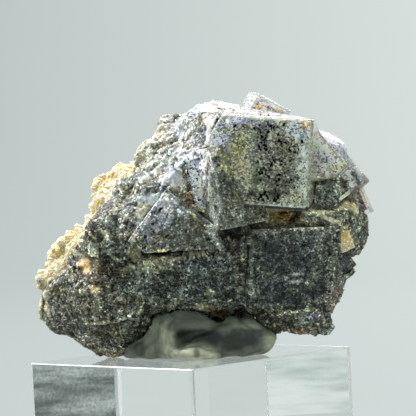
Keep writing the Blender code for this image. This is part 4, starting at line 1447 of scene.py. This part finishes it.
@dataclass(frozen=True)
class StoneFinish:
    """Weathered fluorite and gangue: dull, salt and pepper and finely veined, with a painted highlight
    where it stands out, painted shade in its hollows and painted glints along sharp edges.

    The real specks and pits are a tenth of a millimetre or less. They are drawn about three times as
    coarse, so that they show. Sizes are in millimetres: the crumb and the jag make the outline of the
    pepper ragged, a jolt or a bend shifts the web of pale seams or the cracks that carry the veins,
    and the grain height is that of the bumps. Calm is the contrast that is left on a pale ground.
    """

    pepper: float = 0.32
    crumb: float = 0.3
    jag: float = 0.35
    blotch: float = 2.2
    web: float = 1.5
    web_jolt: float = 1.8
    stain_size: float = 4.5
    crack: float = 6.0
    crack_bend: float = 9.0
    grain_height: float = 0.12
    # The rim tone is a painted glint along sharp edges.
    rim: str = "#a5a8a2"
    rim_share: float = 0.35
    vein: str = "#c9c6ab"
    veins: float = 0.5
    hollow: str = "#0e0e0b"
    contrast: float = 1.0
    calm: float = 0.25
    stain: float = 1.0

    def material(self, name: str) -> Material:
        """Builds the material. It reads the stored tint, crust, rim, pit, relief and rest.

        Args:
            name: the material's name.

        Returns:
            The material.
        """
        material, tree, shader = new_material(name)
        place = add_node(tree, "ShaderNodeAttribute", attribute_name="rest").outputs["Vector"]
        tint = add_node(tree, "ShaderNodeAttribute", attribute_name="tint").outputs["Color"]
        rim, crust, pit, height = [
            add_node(tree, "ShaderNodeAttribute", attribute_name=label).outputs["Fac"]
            for label in ("rim", "crust", "pit", "relief")]
        fine = add_node(tree, "ShaderNodeTexNoise",
                        {"Vector": place, "Scale": 1.0 / (self.crumb * MM), "Detail": 3.0,
                         "Roughness": 0.7})
        jog = add_node(tree, "ShaderNodeVectorMath", {0: fine.outputs["Color"], "Scale": self.jag * MM},
                       operation="SCALE")
        jagged = add_node(tree, "ShaderNodeVectorMath", {0: place, 1: jog})
        grains = add_node(tree, "ShaderNodeTexVoronoi",
                          {"Vector": jagged, "Scale": 1.0 / (self.pepper * MM)})
        pick = add_node(tree, "ShaderNodeSeparateColor", {0: grains.outputs["Color"]})
        pepper = add_node(tree, "ShaderNodeValToRGB", {0: pick.outputs[0]},
                          ((0.0, 0.03), (0.2, 0.12), (0.32, 0.72), (0.72, 0.95), (0.86, 1.9),
                           (1.0, 4.2)))
        cloud = add_node(tree, "ShaderNodeTexNoise",
                         {"Vector": place, "Scale": 1.0 / (self.blotch * MM), "Detail": 6.0,
                          "Roughness": 0.72, "Distortion": 0.4})
        blotched = add_node(tree, "ShaderNodeValToRGB", {0: cloud},
                            ((0.34, 0.34), (0.43, 0.62), (0.5, 0.95), (0.57, 1.36), (0.66, 2.2)))
        jolt = add_node(tree, "ShaderNodeVectorMath",
                        {0: cloud.outputs["Color"], "Scale": self.web_jolt * MM}, operation="SCALE")
        netted = add_node(tree, "ShaderNodeVectorMath", {0: jagged, 1: jolt})
        cells = add_node(tree, "ShaderNodeTexVoronoi",
                         {"Vector": netted, "Scale": 1.0 / (self.web * MM)}, feature="DISTANCE_TO_EDGE")
        web = add_node(tree, "ShaderNodeValToRGB", {0: cells.outputs["Distance"]},
                       ((0.0, 2.0), (0.08, 1.3), (0.2, 0.85), (0.4, 0.55)))
        mottled = add_node(tree, "ShaderNodeMix", {0: 0.75, 6: blotched, 7: web}, **TIMES)
        full = add_node(tree, "ShaderNodeMix", {0: 1.0, 6: pepper, 7: mottled}, **TIMES)
        grey = add_node(tree, "ShaderNodeRGBToBW", {0: tint})
        calm = add_node(tree, "ShaderNodeMapRange",
                        {"Value": grey, "From Min": 0.08, "From Max": 0.6, "To Min": 1.0,
                         "To Max": self.calm})
        strength = add_node(tree, "ShaderNodeMath", {0: calm, 1: self.contrast}, operation="MULTIPLY")
        speckled = add_node(tree, "ShaderNodeMix", {0: strength, 6: WHITE, 7: full}, data_type="RGBA")
        # Painted shade in the hollows and painted highlight on what stands out, from the stored relief.
        raised = add_node(tree, "ShaderNodeMapRange",
                          {"Value": height, "From Min": -0.4, "From Max": 0.4})
        relief_light_and_shade = add_node(tree, "ShaderNodeValToRGB", {0: raised},
                          ((0.0, 0.2), (0.38, 0.7), (0.5, 1.0), (0.62, 1.4), (1.0, 2.2)))
        carved = add_node(tree, "ShaderNodeMix", {0: calm, 6: speckled, 7: relief_light_and_shade}, **TIMES)
        wide = add_node(tree, "ShaderNodeTexNoise",
                        {"Vector": place, "Scale": 1.0 / (self.stain_size * MM), "Detail": 4.0,
                         "Roughness": 0.65})
        stained = add_node(tree, "ShaderNodeValToRGB", {0: wide.outputs[0]},
                           ((0.36, (1.15, 1.02, 0.76, 1.0)), (0.5, (1.02, 1.0, 0.93, 1.0)),
                            (0.62, (0.95, 1.0, 1.05, 1.0))))
        hued = add_node(tree, "ShaderNodeMix", {0: self.stain, 6: carved, 7: stained}, **TIMES)
        softened = add_node(tree, "ShaderNodeMix", {0: crust, 6: hued, 7: WHITE}, data_type="RGBA")
        tone = add_node(tree, "ShaderNodeMix", {0: 1.0, 6: tint, 7: softened}, **TIMES)
        shaken = add_node(tree, "ShaderNodeVectorMath",
                          {0: wide.outputs["Color"], "Scale": self.crack_bend * MM}, operation="SCALE")
        bent = add_node(tree, "ShaderNodeVectorMath", {0: place, 1: shaken})
        cracks = add_node(tree, "ShaderNodeTexVoronoi",
                          {"Vector": bent, "Scale": 1.0 / (self.crack * MM)},
                          feature="DISTANCE_TO_EDGE")
        line = add_node(tree, "ShaderNodeMapRange",
                        {"Value": cracks.outputs["Distance"], "From Min": 0.03, "From Max": 0.008})
        where = add_node(tree, "ShaderNodeMapRange",
                         {"Value": cloud, "From Min": 0.5, "From Max": 0.6, "To Max": self.veins})
        vein = add_node(tree, "ShaderNodeMath", {0: line, 1: where}, operation="MULTIPLY")
        veined = add_node(tree, "ShaderNodeMix", {0: vein, 6: tone, 7: linear(self.vein)},
                          data_type="RGBA")
        # Painted glints: the rim tone, in patches, along sharp edges.
        edge_glint_share = add_node(tree, "ShaderNodeMapRange",
                           {"Value": cloud, "From Min": 0.42, "From Max": 0.56,
                            "To Max": self.rim_share})
        worn = add_node(tree, "ShaderNodeMath", {0: rim, 1: edge_glint_share}, operation="MULTIPLY")
        edged = add_node(tree, "ShaderNodeMix", {0: worn, 6: veined, 7: linear(self.rim)},
                         data_type="RGBA")
        clean = add_node(tree, "ShaderNodeMath", {0: 1.0, 1: crust}, operation="SUBTRACT")
        pitted = add_node(tree, "ShaderNodeMath", {0: pit, 1: clean}, operation="MULTIPLY")
        deep = add_node(tree, "ShaderNodeMix", {0: pitted, 6: edged, 7: linear(self.hollow)},
                        data_type="RGBA")
        gloss = add_node(tree, "ShaderNodeMapRange",
                         {"Value": pick.outputs[2], "To Min": 0.45, "To Max": 0.9})
        bump = add_node(tree, "ShaderNodeBump",
                        {"Height": pick.outputs[1], "Strength": 0.6,
                         "Distance": self.grain_height * MM})
        set_inputs(tree, shader,
                   {"Base Color": deep, "Roughness": gloss, "Specular IOR Level": 0.35, "Normal": bump})
        return material


@dataclass(frozen=True)
class HeartFinish:
    """The clouded middle of a clear cube: specks and veils of inclusions, seen through its clear rind.

    The specks are drawn coarser than the real ones, so that they show. Sizes are in millimetres: the
    crumb and the jag make the outline of the specks ragged.
    """

    speck: float = 0.3
    crumb: float = 0.25
    jag: float = 0.3
    veil: float = 1.5
    rim: str = "#d8d6c8"
    contrast: float = 1.0

    def material(self, name: str) -> Material:
        """Builds the material. It reads the stored tint and rim.

        Args:
            name: the material's name.

        Returns:
            The material.
        """
        material, tree, shader = new_material(name)
        place = add_node(tree, "ShaderNodeTexCoord").outputs["Object"]
        tint = add_node(tree, "ShaderNodeAttribute", attribute_name="tint").outputs["Color"]
        rim = add_node(tree, "ShaderNodeAttribute", attribute_name="rim").outputs["Fac"]
        fine = add_node(tree, "ShaderNodeTexNoise",
                        {"Vector": place, "Scale": 1.0 / (self.crumb * MM), "Detail": 2.0})
        jog = add_node(tree, "ShaderNodeVectorMath", {0: fine.outputs["Color"], "Scale": self.jag * MM},
                       operation="SCALE")
        jagged = add_node(tree, "ShaderNodeVectorMath", {0: place, 1: jog})
        specks = add_node(tree, "ShaderNodeTexVoronoi",
                          {"Vector": jagged, "Scale": 1.0 / (self.speck * MM)})
        pick = add_node(tree, "ShaderNodeSeparateColor", {0: specks.outputs["Color"]})
        pepper = add_node(tree, "ShaderNodeValToRGB", {0: pick.outputs[0]},
                          ((0.0, 0.1), (0.2, 0.4), (0.4, 0.92), (0.78, 1.25), (1.0, 3.4)))
        cloud = add_node(tree, "ShaderNodeTexNoise",
                         {"Vector": place, "Scale": 1.0 / (self.veil * MM), "Detail": 5.0,
                          "Roughness": 0.7, "Distortion": 0.6})
        veils = add_node(tree, "ShaderNodeValToRGB", {0: cloud},
                         ((0.34, 0.58), (0.5, 1.0), (0.64, 1.45)))
        clouded = add_node(tree, "ShaderNodeMix", {0: 1.0, 6: pepper, 7: veils}, **TIMES)
        tone = add_node(tree, "ShaderNodeMix", {0: self.contrast, 6: tint, 7: clouded}, **TIMES)
        edged = add_node(tree, "ShaderNodeMix", {0: rim, 6: tone, 7: linear(self.rim)},
                         data_type="RGBA")
        set_inputs(tree, shader,
                   {"Base Color": edged, "Roughness": 0.55, "Subsurface Weight": 0.15,
                    "Subsurface Radius": (0.0005, 0.0005, 0.0005), "Subsurface Scale": 1.0})
        return material


@dataclass(frozen=True)
class CrystalFinish:
    """Clear fluorite: low refraction, a faint cold tint in its depth, faces with fine growth steps.

    Its frost is the roughness of the faces, and a step is so many millimetres wide.
    """

    frost: float = 0.05
    step: float = 1.1

    def material(self, name: str) -> Material:
        """Builds the material.

        Args:
            name: the material's name.

        Returns:
            The material.
        """
        material, tree, shader = new_material(name)
        place = add_node(tree, "ShaderNodeTexCoord").outputs["Object"]
        steps = add_node(tree, "ShaderNodeTexNoise",
                         {"Vector": place, "Scale": 1.0 / (self.step * MM), "Detail": 4.0,
                          "Roughness": 0.6})
        frosted = add_node(tree, "ShaderNodeMapRange",
                           {"Value": steps, "From Min": 0.35, "From Max": 0.65,
                            "To Min": self.frost * 0.5, "To Max": self.frost * 1.6})
        bump = add_node(tree, "ShaderNodeBump",
                        {"Height": steps, "Strength": 0.25, "Distance": 0.1 * MM})
        set_inputs(tree, shader,
                   {"Base Color": linear("#fbfcfb"), "Transmission Weight": 1.0, "IOR": 1.434,
                    "Roughness": frosted, "Normal": bump})
        haze = add_node(tree, "ShaderNodeVolumeAbsorption",
                        {"Color": linear("#e4eae0"), "Density": 40.0})
        set_inputs(tree, tree.nodes["Material Output"], {"Volume": haze})
        return material


@dataclass
class ClearCrystals:
    """The see-through cubes, each with its clouded heart inside.

    Lengths are in millimetres. A shard's heart shows its specks with the shard contrast only.
    """

    seat: float
    edge_break: float = 0.22
    heart_cell: float = 0.3
    heart_swell: float = 0.10
    swell_size: float = 0.9
    shard_contrast: float = 0.4

    def heart(self, cube: Cube, patches: tuple) -> Object:
        """Makes the clouded middle of a cube.

        Args:
            cube: the cube.
            patches: the colours on it.

        Returns:
            The piece.
        """
        solid = cube.body(self.seat, rind=cube.rind)
        mesh = skinned(solid, self.heart_cell)
        Edges(solid, self.seat, flat_area=4.0, edge_reach=0.5).mark(mesh)
        # The cube's gain here is painted light, for the light that the clear rind keeps from the heart.
        Colouring(self.seat, cube.heart, patches, ragged=0.5, swell=1.6, gain=cube.gain, soft=0.8,
                  veins=SEAMS, pits=WINDOW_PITS).paint(mesh)
        points = vectors(mesh, "position")
        lift = wobble(points / MM, self.swell_size) * self.heart_swell * MM
        mesh.vertices.foreach_set("co", (points + vectors(mesh, "normal") * lift[:, None]).ravel())
        contrast = self.shard_contrast if cube in SHARDS else 1.0
        dress(mesh, HeartFinish(rim=cube.rim, contrast=contrast).material(cube.name + "_veils"))
        return specimen_piece(cube.name + "_heart", mesh)

    def build(self) -> None:
        """Makes each clear cube and its heart, and the black inclusions of the window cube."""
        clear = CrystalFinish().material("clear_fluorite")
        frosted = CrystalFinish(frost=0.2, step=0.7).material("frosted_fluorite")
        painted = {"window_cube": WINDOW_TONES_AND_PAINTED_LIGHT, "shoulder_cube": SHOULDER_PATCHES,
                   "crest_cube": CREST_PATCHES, "ghost_cube": GHOST_PAINTED_LIGHT_AND_SHADE}
        for cube in SHARDS:
            self.heart(cube, SHARD_PATCHES)
        for cube in CLEAR_CUBES:
            body = link_piece("raw", cube.body(self.seat))
            bevel = body.modifiers.new("bevel", "BEVEL")
            bevel.width = self.edge_break * MM
            bevel.segments = 3
            mesh = settled(body)
            mesh.materials.append(frosted if cube.frosted else clear)
            specimen_piece(cube.name, mesh)
            heart = self.heart(cube, painted.get(cube.name, ()))
            if cube is WINDOW:
                black = INCLUSIONS.material("black_inclusions")
                Scatter("window_inclusions", "pits", per_mm2=3.6, smallest=0.28, largest=1.2, seed=5,
                        sunk=0.1, lift=0.44, shape=GrainShape.SPLINTER).build(heart, black)


class GrainShape(Enum):
    """The shape of a strewn grain, and the least and greatest stretch of its three sides."""

    CUBE = ("GeometryNodeMeshCube", (0.6, 0.6, 0.6), (1.0, 1.0, 1.0))
    SPLINTER = ("GeometryNodeMeshIcoSphere", (0.4, 0.3, 0.3), (1.2, 0.8, 0.6))


@dataclass
class Scatter:
    """Small grains strewn over a surface, as many as a stored share of it asks for.

    The smallest and largest sizes and the lift off the surface are in millimetres. A grain is sunk by
    a share of its own size.
    """

    name: str
    share: str
    per_mm2: float
    smallest: float
    largest: float
    seed: int
    sunk: float = 0.25
    shape: GrainShape = GrainShape.CUBE
    lift: float = 0.0

    def tree(self, sizes: dict) -> NodeTree:
        """Builds the node tree that strews, turns and stretches the grains.

        Args:
            sizes: its named inputs.

        Returns:
            The tree.
        """
        tree, given = new_group("grains", sizes)
        kind, least, most = self.shape.value
        share = add_node(tree, "GeometryNodeInputNamedAttribute", {"Name": self.share},
                         data_type="FLOAT")
        density = add_node(tree, "ShaderNodeMath", {0: share, 1: given.outputs["Density"]},
                           operation="MULTIPLY")
        spots = add_node(tree, "GeometryNodeDistributePointsOnFaces",
                         {"Mesh": given.outputs[0], "Density": density, "Seed": given.outputs["Seed"]})
        chance = add_node(tree, "FunctionNodeRandomValue", {2: 0.0, 3: 1.0, "Seed": 3},
                          data_type="FLOAT")
        few = add_node(tree, "ShaderNodeMath", {0: chance.outputs[1], 1: 2.0}, operation="POWER")
        size = add_node(tree, "ShaderNodeMapRange",
                        {"Value": few, "To Min": given.outputs["Smallest"],
                         "To Max": given.outputs["Largest"]})
        stretch = add_node(tree, "FunctionNodeRandomValue", {0: least, 1: most, "Seed": 5},
                           data_type="FLOAT_VECTOR")
        scale = add_node(tree, "ShaderNodeVectorMath", {0: stretch, "Scale": size}, operation="SCALE")
        turn = add_node(tree, "FunctionNodeRandomValue",
                        {0: (0.0, 0.0, 0.0), 1: (6.28, 6.28, 6.28), "Seed": 7},
                        data_type="FLOAT_VECTOR")
        depth = add_node(tree, "ShaderNodeMath", {0: size, 1: given.outputs["Sunk"]},
                         operation="MULTIPLY")
        low = add_node(tree, "ShaderNodeMath", {0: given.outputs["Lift"], 1: depth},
                       operation="SUBTRACT")
        inwards = add_node(tree, "ShaderNodeVectorMath", {0: spots.outputs["Normal"], "Scale": low},
                           operation="SCALE")
        seated = add_node(tree, "GeometryNodeSetPosition", {"Geometry": spots, "Offset": inwards})
        grain = add_node(tree, kind, {0: (1.0, 1.0, 1.0) if self.shape is GrainShape.CUBE else 0.5})
        strewn = add_node(tree, "GeometryNodeInstanceOnPoints",
                          {"Points": seated, "Instance": grain, "Rotation": turn, "Scale": scale})
        hue = add_node(tree, "FunctionNodeRandomValue", {2: 0.0, 3: 1.0, "Seed": 9}, data_type="FLOAT")
        marked = add_node(tree, "GeometryNodeStoreNamedAttribute",
                          {"Geometry": strewn, "Name": "hue", "Value": hue.outputs[1]},
                          data_type="FLOAT", domain="INSTANCE")
        real = add_node(tree, "GeometryNodeRealizeInstances", {0: marked})
        dressed = add_node(tree, "GeometryNodeSetMaterial",
                           {"Geometry": real, "Material": given.outputs["Finish"]})
        add_node(tree, "NodeGroupOutput", {0: dressed})
        return tree

    def build(self, ground: Object, finish: Material) -> Object:
        """Strews the grains.

        Args:
            ground: the piece that they grow on.
            finish: their material.

        Returns:
            The new piece.
        """
        sizes = {"Density": self.per_mm2 / MM ** 2, "Smallest": self.smallest * MM,
                 "Seed": self.seed, "Largest": self.largest * MM, "Sunk": self.sunk,
                 "Lift": self.lift * MM, "Finish": finish}
        mesh = grown(link_piece("ground", ground.data.copy()), self.tree(sizes), sizes)
        mesh.materials.clear()
        mesh.materials.append(finish)
        return specimen_piece(self.name, mesh)


@dataclass(frozen=True)
class GrainFinish:
    """Grains of one kind, each with its own tone, which may let a little light in.

    A tone is a place from 0 to 1 and its colour. Glow is how much light goes in, and follow is how
    much of the ground's own tint a grain takes on.
    """

    tones: tuple
    roughness: float = 0.35
    glow: float = 0.5
    follow: float = 0.0
    shine: float = 0.5

    def material(self, name: str) -> Material:
        """Builds the material. It reads the grains' stored hue, and the tint of the ground they grow on.

        Args:
            name: the material's name.

        Returns:
            The material.
        """
        material, tree, shader = new_material(name)
        hue = add_node(tree, "ShaderNodeAttribute", attribute_name="hue").outputs["Fac"]
        tone = add_node(tree, "ShaderNodeValToRGB", {0: hue},
                        tuple((place, linear(code)) for place, code in self.tones))
        tint = add_node(tree, "ShaderNodeAttribute", attribute_name="tint").outputs["Color"]
        shared = add_node(tree, "ShaderNodeMix", {0: self.follow, 6: tone, 7: tint}, data_type="RGBA")
        set_inputs(tree, shader,
                   {"Base Color": shared, "Roughness": self.roughness, "Specular IOR Level": self.shine,
                    "Subsurface Weight": self.glow, "Subsurface Radius": (0.0012, 0.001, 0.0006),
                    "Subsurface Scale": 1.0})
        return material


# Black specks that lie in the clear rind and on the ridge cube's face: dull, with a hint of red brown.
INCLUSIONS = GrainFinish(((0.0, "#040404"), (0.9, "#090807"), (1.0, "#34190c")), roughness=0.8,
                         glow=0.0, shine=0.1)


@dataclass
class MineralTack:
    """The putty under the specimen, pressed, rolled and dragged by hand.

    Lengths are in millimetres, and smoothing is how many rounds of it the pressed mesh gets.
    """

    seat: float
    cell: float = 0.36
    streak: float = 0.8
    streak_height: float = 0.11
    smoothing: int = 14
    foot_spread: float = 1.9
    waist_pinch: float = 1.7
    belly_sag: float = 1.4

    def folded(self, mesh: Mesh) -> None:
        """Presses in the folds between the upright curtain, the low lobe and the roll above it.

        Args:
            mesh: the smooth putty. Where it is rolled, and not upright, is stored on it.
        """
        points = vectors(mesh, "position")
        at = from_seat(mesh, self.seat)
        right, back, up = at.T
        flat = at[:, [0, 2]] + 0.3 * np.stack([wobble(at, 2.0), wobble(at + 31.0, 2.0)], axis=1)
        # Thin pleats on the curtain, which stands left of the middle.
        pleats = wobble(at * np.array((1.0, 0.4, 0.22)), 1.5)
        move = pleats * smooth_step(right, -2.0, -4.5) * 0.35
        # Each fold presses in its path and raises a low rim beside it. Only the front is folded.
        for fold in TACK_FOLDS:
            off = path_gap(flat, fold.path)
            move += 0.2 * fold.depth * bell(off, 2.4 * fold.width, fold.width)
            move -= fold.depth * bell(off, 0.0, fold.width)
        move *= smooth_step(back, -6.0, -9.0) * MM
        moved = points + vectors(mesh, "normal") * move[:, None]
        # The left foot spreads, the waist above it draws in, the right end is short and the belly sags.
        foot = smooth_step(right, -6.0, -11.0) * smooth_step(up, 5.0, 0.0)
        waist = smooth_step(right, -6.0, -10.0) * bell(up, 6.5, 2.4)
        short = smooth_step(right, 10.0, 16.0)
        moved[:, 0] -= (self.foot_spread * foot - self.waist_pinch * waist + short) * MM
        belly = bell(right, 9.5, 3.6) * smooth_step(up, 4.5, 1.0)
        moved[:, 2] -= self.belly_sag * belly * MM
        # The underside stays above the block.
        moved[:, 2] = np.maximum(moved[:, 2], np.minimum(points[:, 2], self.seat + 0.1 * MM))
        mesh.vertices.foreach_set("co", moved.ravel())
        store(mesh, "rolled", smooth_step(right, -4.0, -1.0))

    def tree(self, sizes: dict) -> NodeTree:
        """Builds the node tree that drags the putty: streaks up the curtain and along the roll.

        Args:
            sizes: its named inputs.

        Returns:
            The tree.
        """
        tree, given = new_group("dragging", sizes)
        place = add_node(tree, "GeometryNodeInputPosition")
        normal = add_node(tree, "GeometryNodeInputNormal")
        rolled = add_node(tree, "GeometryNodeInputNamedAttribute", {"Name": "rolled"},
                          data_type="FLOAT")
        upright = add_node(tree, "ShaderNodeVectorMath", {0: place, 1: (1.0, 1.0, 0.16)},
                           operation="MULTIPLY")
        along = add_node(tree, "ShaderNodeVectorMath", {0: place, 1: (0.12, 0.6, 1.0)},
                         operation="MULTIPLY")
        scale = add_node(tree, "ShaderNodeMath", {0: 1.0, 1: given.outputs["Streak"]},
                         operation="DIVIDE")
        folds = [add_node(tree, "ShaderNodeTexNoise", {"Vector": drawn, "Scale": scale, "Detail": 3.0})
                 for drawn in (upright, along)]
        both = add_node(tree, "ShaderNodeMix", {0: rolled, 2: folds[0], 3: folds[1]}, data_type="FLOAT")
        rise = add_node(tree, "ShaderNodeMapRange",
                        {"Value": both, "From Min": 0.3, "From Max": 0.7, "To Min": -1.0,
                         "To Max": 1.0})
        height = add_node(tree, "ShaderNodeMath", {0: rise, 1: given.outputs["Streak height"]},
                          operation="MULTIPLY")
        push = add_node(tree, "ShaderNodeVectorMath", {0: normal, "Scale": height}, operation="SCALE")
        moved = add_node(tree, "GeometryNodeSetPosition",
                         {"Geometry": given.outputs[0], "Offset": push})
        add_node(tree, "NodeGroupOutput", {0: moved})
        return tree

    def build(self, node: Object) -> Object:
        """Makes the putty.

        Args:
            node: the tack's own node.

        Returns:
            The putty.
        """
        mesh = skinned(merged_copy(node), self.cell)
        soft = link_piece("soft", mesh)
        smooth = soft.modifiers.new("smooth", "SMOOTH")
        smooth.factor = 0.5
        smooth.iterations = self.smoothing
        mesh = settled(soft)
        self.folded(mesh)
        Colouring(self.seat, "#666a5c", TACK_TONES_AND_PAINTED_LIGHT, ragged=0.35, swell=2.6, soft=0.6).paint(mesh)
        sizes = {"Streak": self.streak * MM, "Streak height": self.streak_height * MM}
        mesh = grown(link_piece("dragged", mesh), self.tree(sizes), sizes)
        dress(mesh, TackFinish().material("mineral_tack"))
        log.info("putty: %d faces", len(mesh.polygons))
        putty = link_piece("putty", mesh)
        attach(putty, "root")
        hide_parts("mounting_tack")
        return putty


@dataclass(frozen=True)
class TackFinish:
    """Mineral tack: a dull oily putty, grey-green, streaked where it was dragged.

    A streak is so many millimetres wide.
    """

    streak: float = 1.2

    def material(self, name: str) -> Material:
        """Builds the material. It reads the stored tint and rolled.

        Args:
            name: the material's name.

        Returns:
            The material.
        """
        material, tree, shader = new_material(name)
        place = add_node(tree, "ShaderNodeTexCoord").outputs["Object"]
        tint = add_node(tree, "ShaderNodeAttribute", attribute_name="tint").outputs["Color"]
        rolled = add_node(tree, "ShaderNodeAttribute", attribute_name="rolled").outputs["Fac"]
        clouds = []
        for stretch in ((1.0, 1.0, 0.12), (0.1, 0.6, 1.0)):
            drawn = add_node(tree, "ShaderNodeMapping", {"Vector": place, "Scale": stretch})
            clouds.append(add_node(tree, "ShaderNodeTexNoise", {"Vector": drawn, "Detail": 4.0,
                                                                "Scale": 1.0 / (self.streak * MM)}))
        cloud = add_node(tree, "ShaderNodeMix", {0: rolled, 2: clouds[0], 3: clouds[1]},
                         data_type="FLOAT")
        streaks = add_node(tree, "ShaderNodeValToRGB", {0: cloud},
                           ((0.34, 0.72), (0.5, 1.0), (0.66, 1.35)))
        tone = add_node(tree, "ShaderNodeMix", {0: 1.0, 6: tint, 7: streaks}, **TIMES)
        set_inputs(tree, shader, {"Base Color": tone, "Roughness": 0.42})
        return material


@dataclass(frozen=True)
class AcrylicFinish:
    """Cast acrylic: clear, with polished faces, faint wiping marks and slightly rough broken edges.

    Half is half the block's side, and the edge is how wide a rough edge is, both in millimetres.
    """

    half: float = 25.27
    edge: float = 0.7
    height: float = 25.4

    def material(self, name: str) -> Material:
        """Builds the material. It reads object coordinates, in which the block stands corner-on.

        Args:
            name: the material's name.

        Returns:
            The material.
        """
        material, tree, shader = new_material(name)
        place = add_node(tree, "ShaderNodeTexCoord").outputs["Object"]
        turned = add_node(tree, "ShaderNodeMapping",
                          {"Vector": place, "Rotation": (0.0, 0.0, math.pi / 4),
                           "Location": (0.0, 0.0, -self.height / 2 * MM)})
        far = add_node(tree, "ShaderNodeVectorMath", {0: turned}, operation="ABSOLUTE")
        sides = add_node(tree, "ShaderNodeSeparateXYZ", {0: far})
        near = []
        for axis, half in enumerate((self.half, self.half, self.height / 2)):
            near.append(add_node(tree, "ShaderNodeMapRange",
                                 {"Value": sides.outputs[axis], "From Min": (half - self.edge) * MM,
                                  "From Max": (half - self.edge * 0.5) * MM}))
        upright = add_node(tree, "ShaderNodeMath", {0: near[0], 1: near[1]}, operation="MULTIPLY")
        pair = add_node(tree, "ShaderNodeMath", {0: near[0], 1: near[1]}, operation="ADD")
        all_three = add_node(tree, "ShaderNodeMath", {0: pair, 1: near[2]}, operation="ADD")
        broken = add_node(tree, "ShaderNodeMath", {0: all_three, 1: 1.0}, operation="SUBTRACT",
                          use_clamp=True)
        wiped = add_node(tree, "ShaderNodeMapping",
                         {"Vector": place, "Scale": (0.2, 0.2, 1.0), "Rotation": (0.3, 0.1, 0.0)})
        marks = add_node(tree, "ShaderNodeTexNoise",
                         {"Vector": wiped, "Scale": 1.0 / (2.0 * MM), "Detail": 5.0})
        faint = add_node(tree, "ShaderNodeMapRange",
                         {"Value": marks, "From Min": 0.55, "From Max": 0.8, "To Max": 0.03})
        eased = add_node(tree, "ShaderNodeMix", {0: broken, 2: faint, 3: 0.35}, data_type="FLOAT")
        rough = add_node(tree, "ShaderNodeMix", {0: upright, 2: eased, 3: 0.7}, data_type="FLOAT")
        set_inputs(tree, shader,
                   {"Base Color": linear("#fbfdfc"), "Transmission Weight": 1.0, "IOR": 1.49,
                    "Roughness": rough})
        return material


def main() -> None:
    """Builds the scene in order: camera, tent, rock, crystals, grains, tack and block."""
    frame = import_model()
    nodes = frame["nodes"]
    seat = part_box("acrylic_block")[1].z
    Camera().build(seat)
    log.info("camera ready")
    Studio().build()
    log.info("studio ready")
    rock = Stone(seat).build(nodes["fluorite_specimen"])
    log.info("host rock and stony cubes ready")
    ClearCrystals(seat).build()
    log.info("clear cubes ready")
    honey = GrainFinish(((0.0, "#faf4dc"), (0.6, "#f3e6b6"), (0.9, "#e6c67c"), (1.0, "#c98f3a")),
                        follow=0.5)
    crust = Scatter("yellow_crust", "crust", per_mm2=6.0, smallest=0.3, largest=1.1, seed=11)
    crust.build(rock, honey.material("sugary_yellow_crust"))
    salt = GrainFinish(((0.0, "#0f0f0c"), (0.4, "#2a2a23"), (0.6, "#66665a"), (0.85, "#9c9984"),
                        (1.0, "#dcdac8")), roughness=0.6, glow=0.1, follow=0.45)
    gangue = Scatter("gangue_grains", "grit", per_mm2=0.8, smallest=0.16, largest=0.48, seed=23)
    gangue.build(rock, salt.material("salt_and_pepper_grains"))
    log.info("crust and gangue grains ready")
    MineralTack(seat).build(nodes["mounting_tack"])
    log.info("putty ready")
    block = nodes["acrylic_block"]
    finish = AcrylicFinish().material("cast_acrylic")
    block.data.materials.clear()
    block.data.materials.append(finish)
    block.material_slots[0].material = finish
    log.info("acrylic block dressed")


if __name__ == "__main__":
    logging.basicConfig(level=logging.INFO, format="%(message)s")
    main()
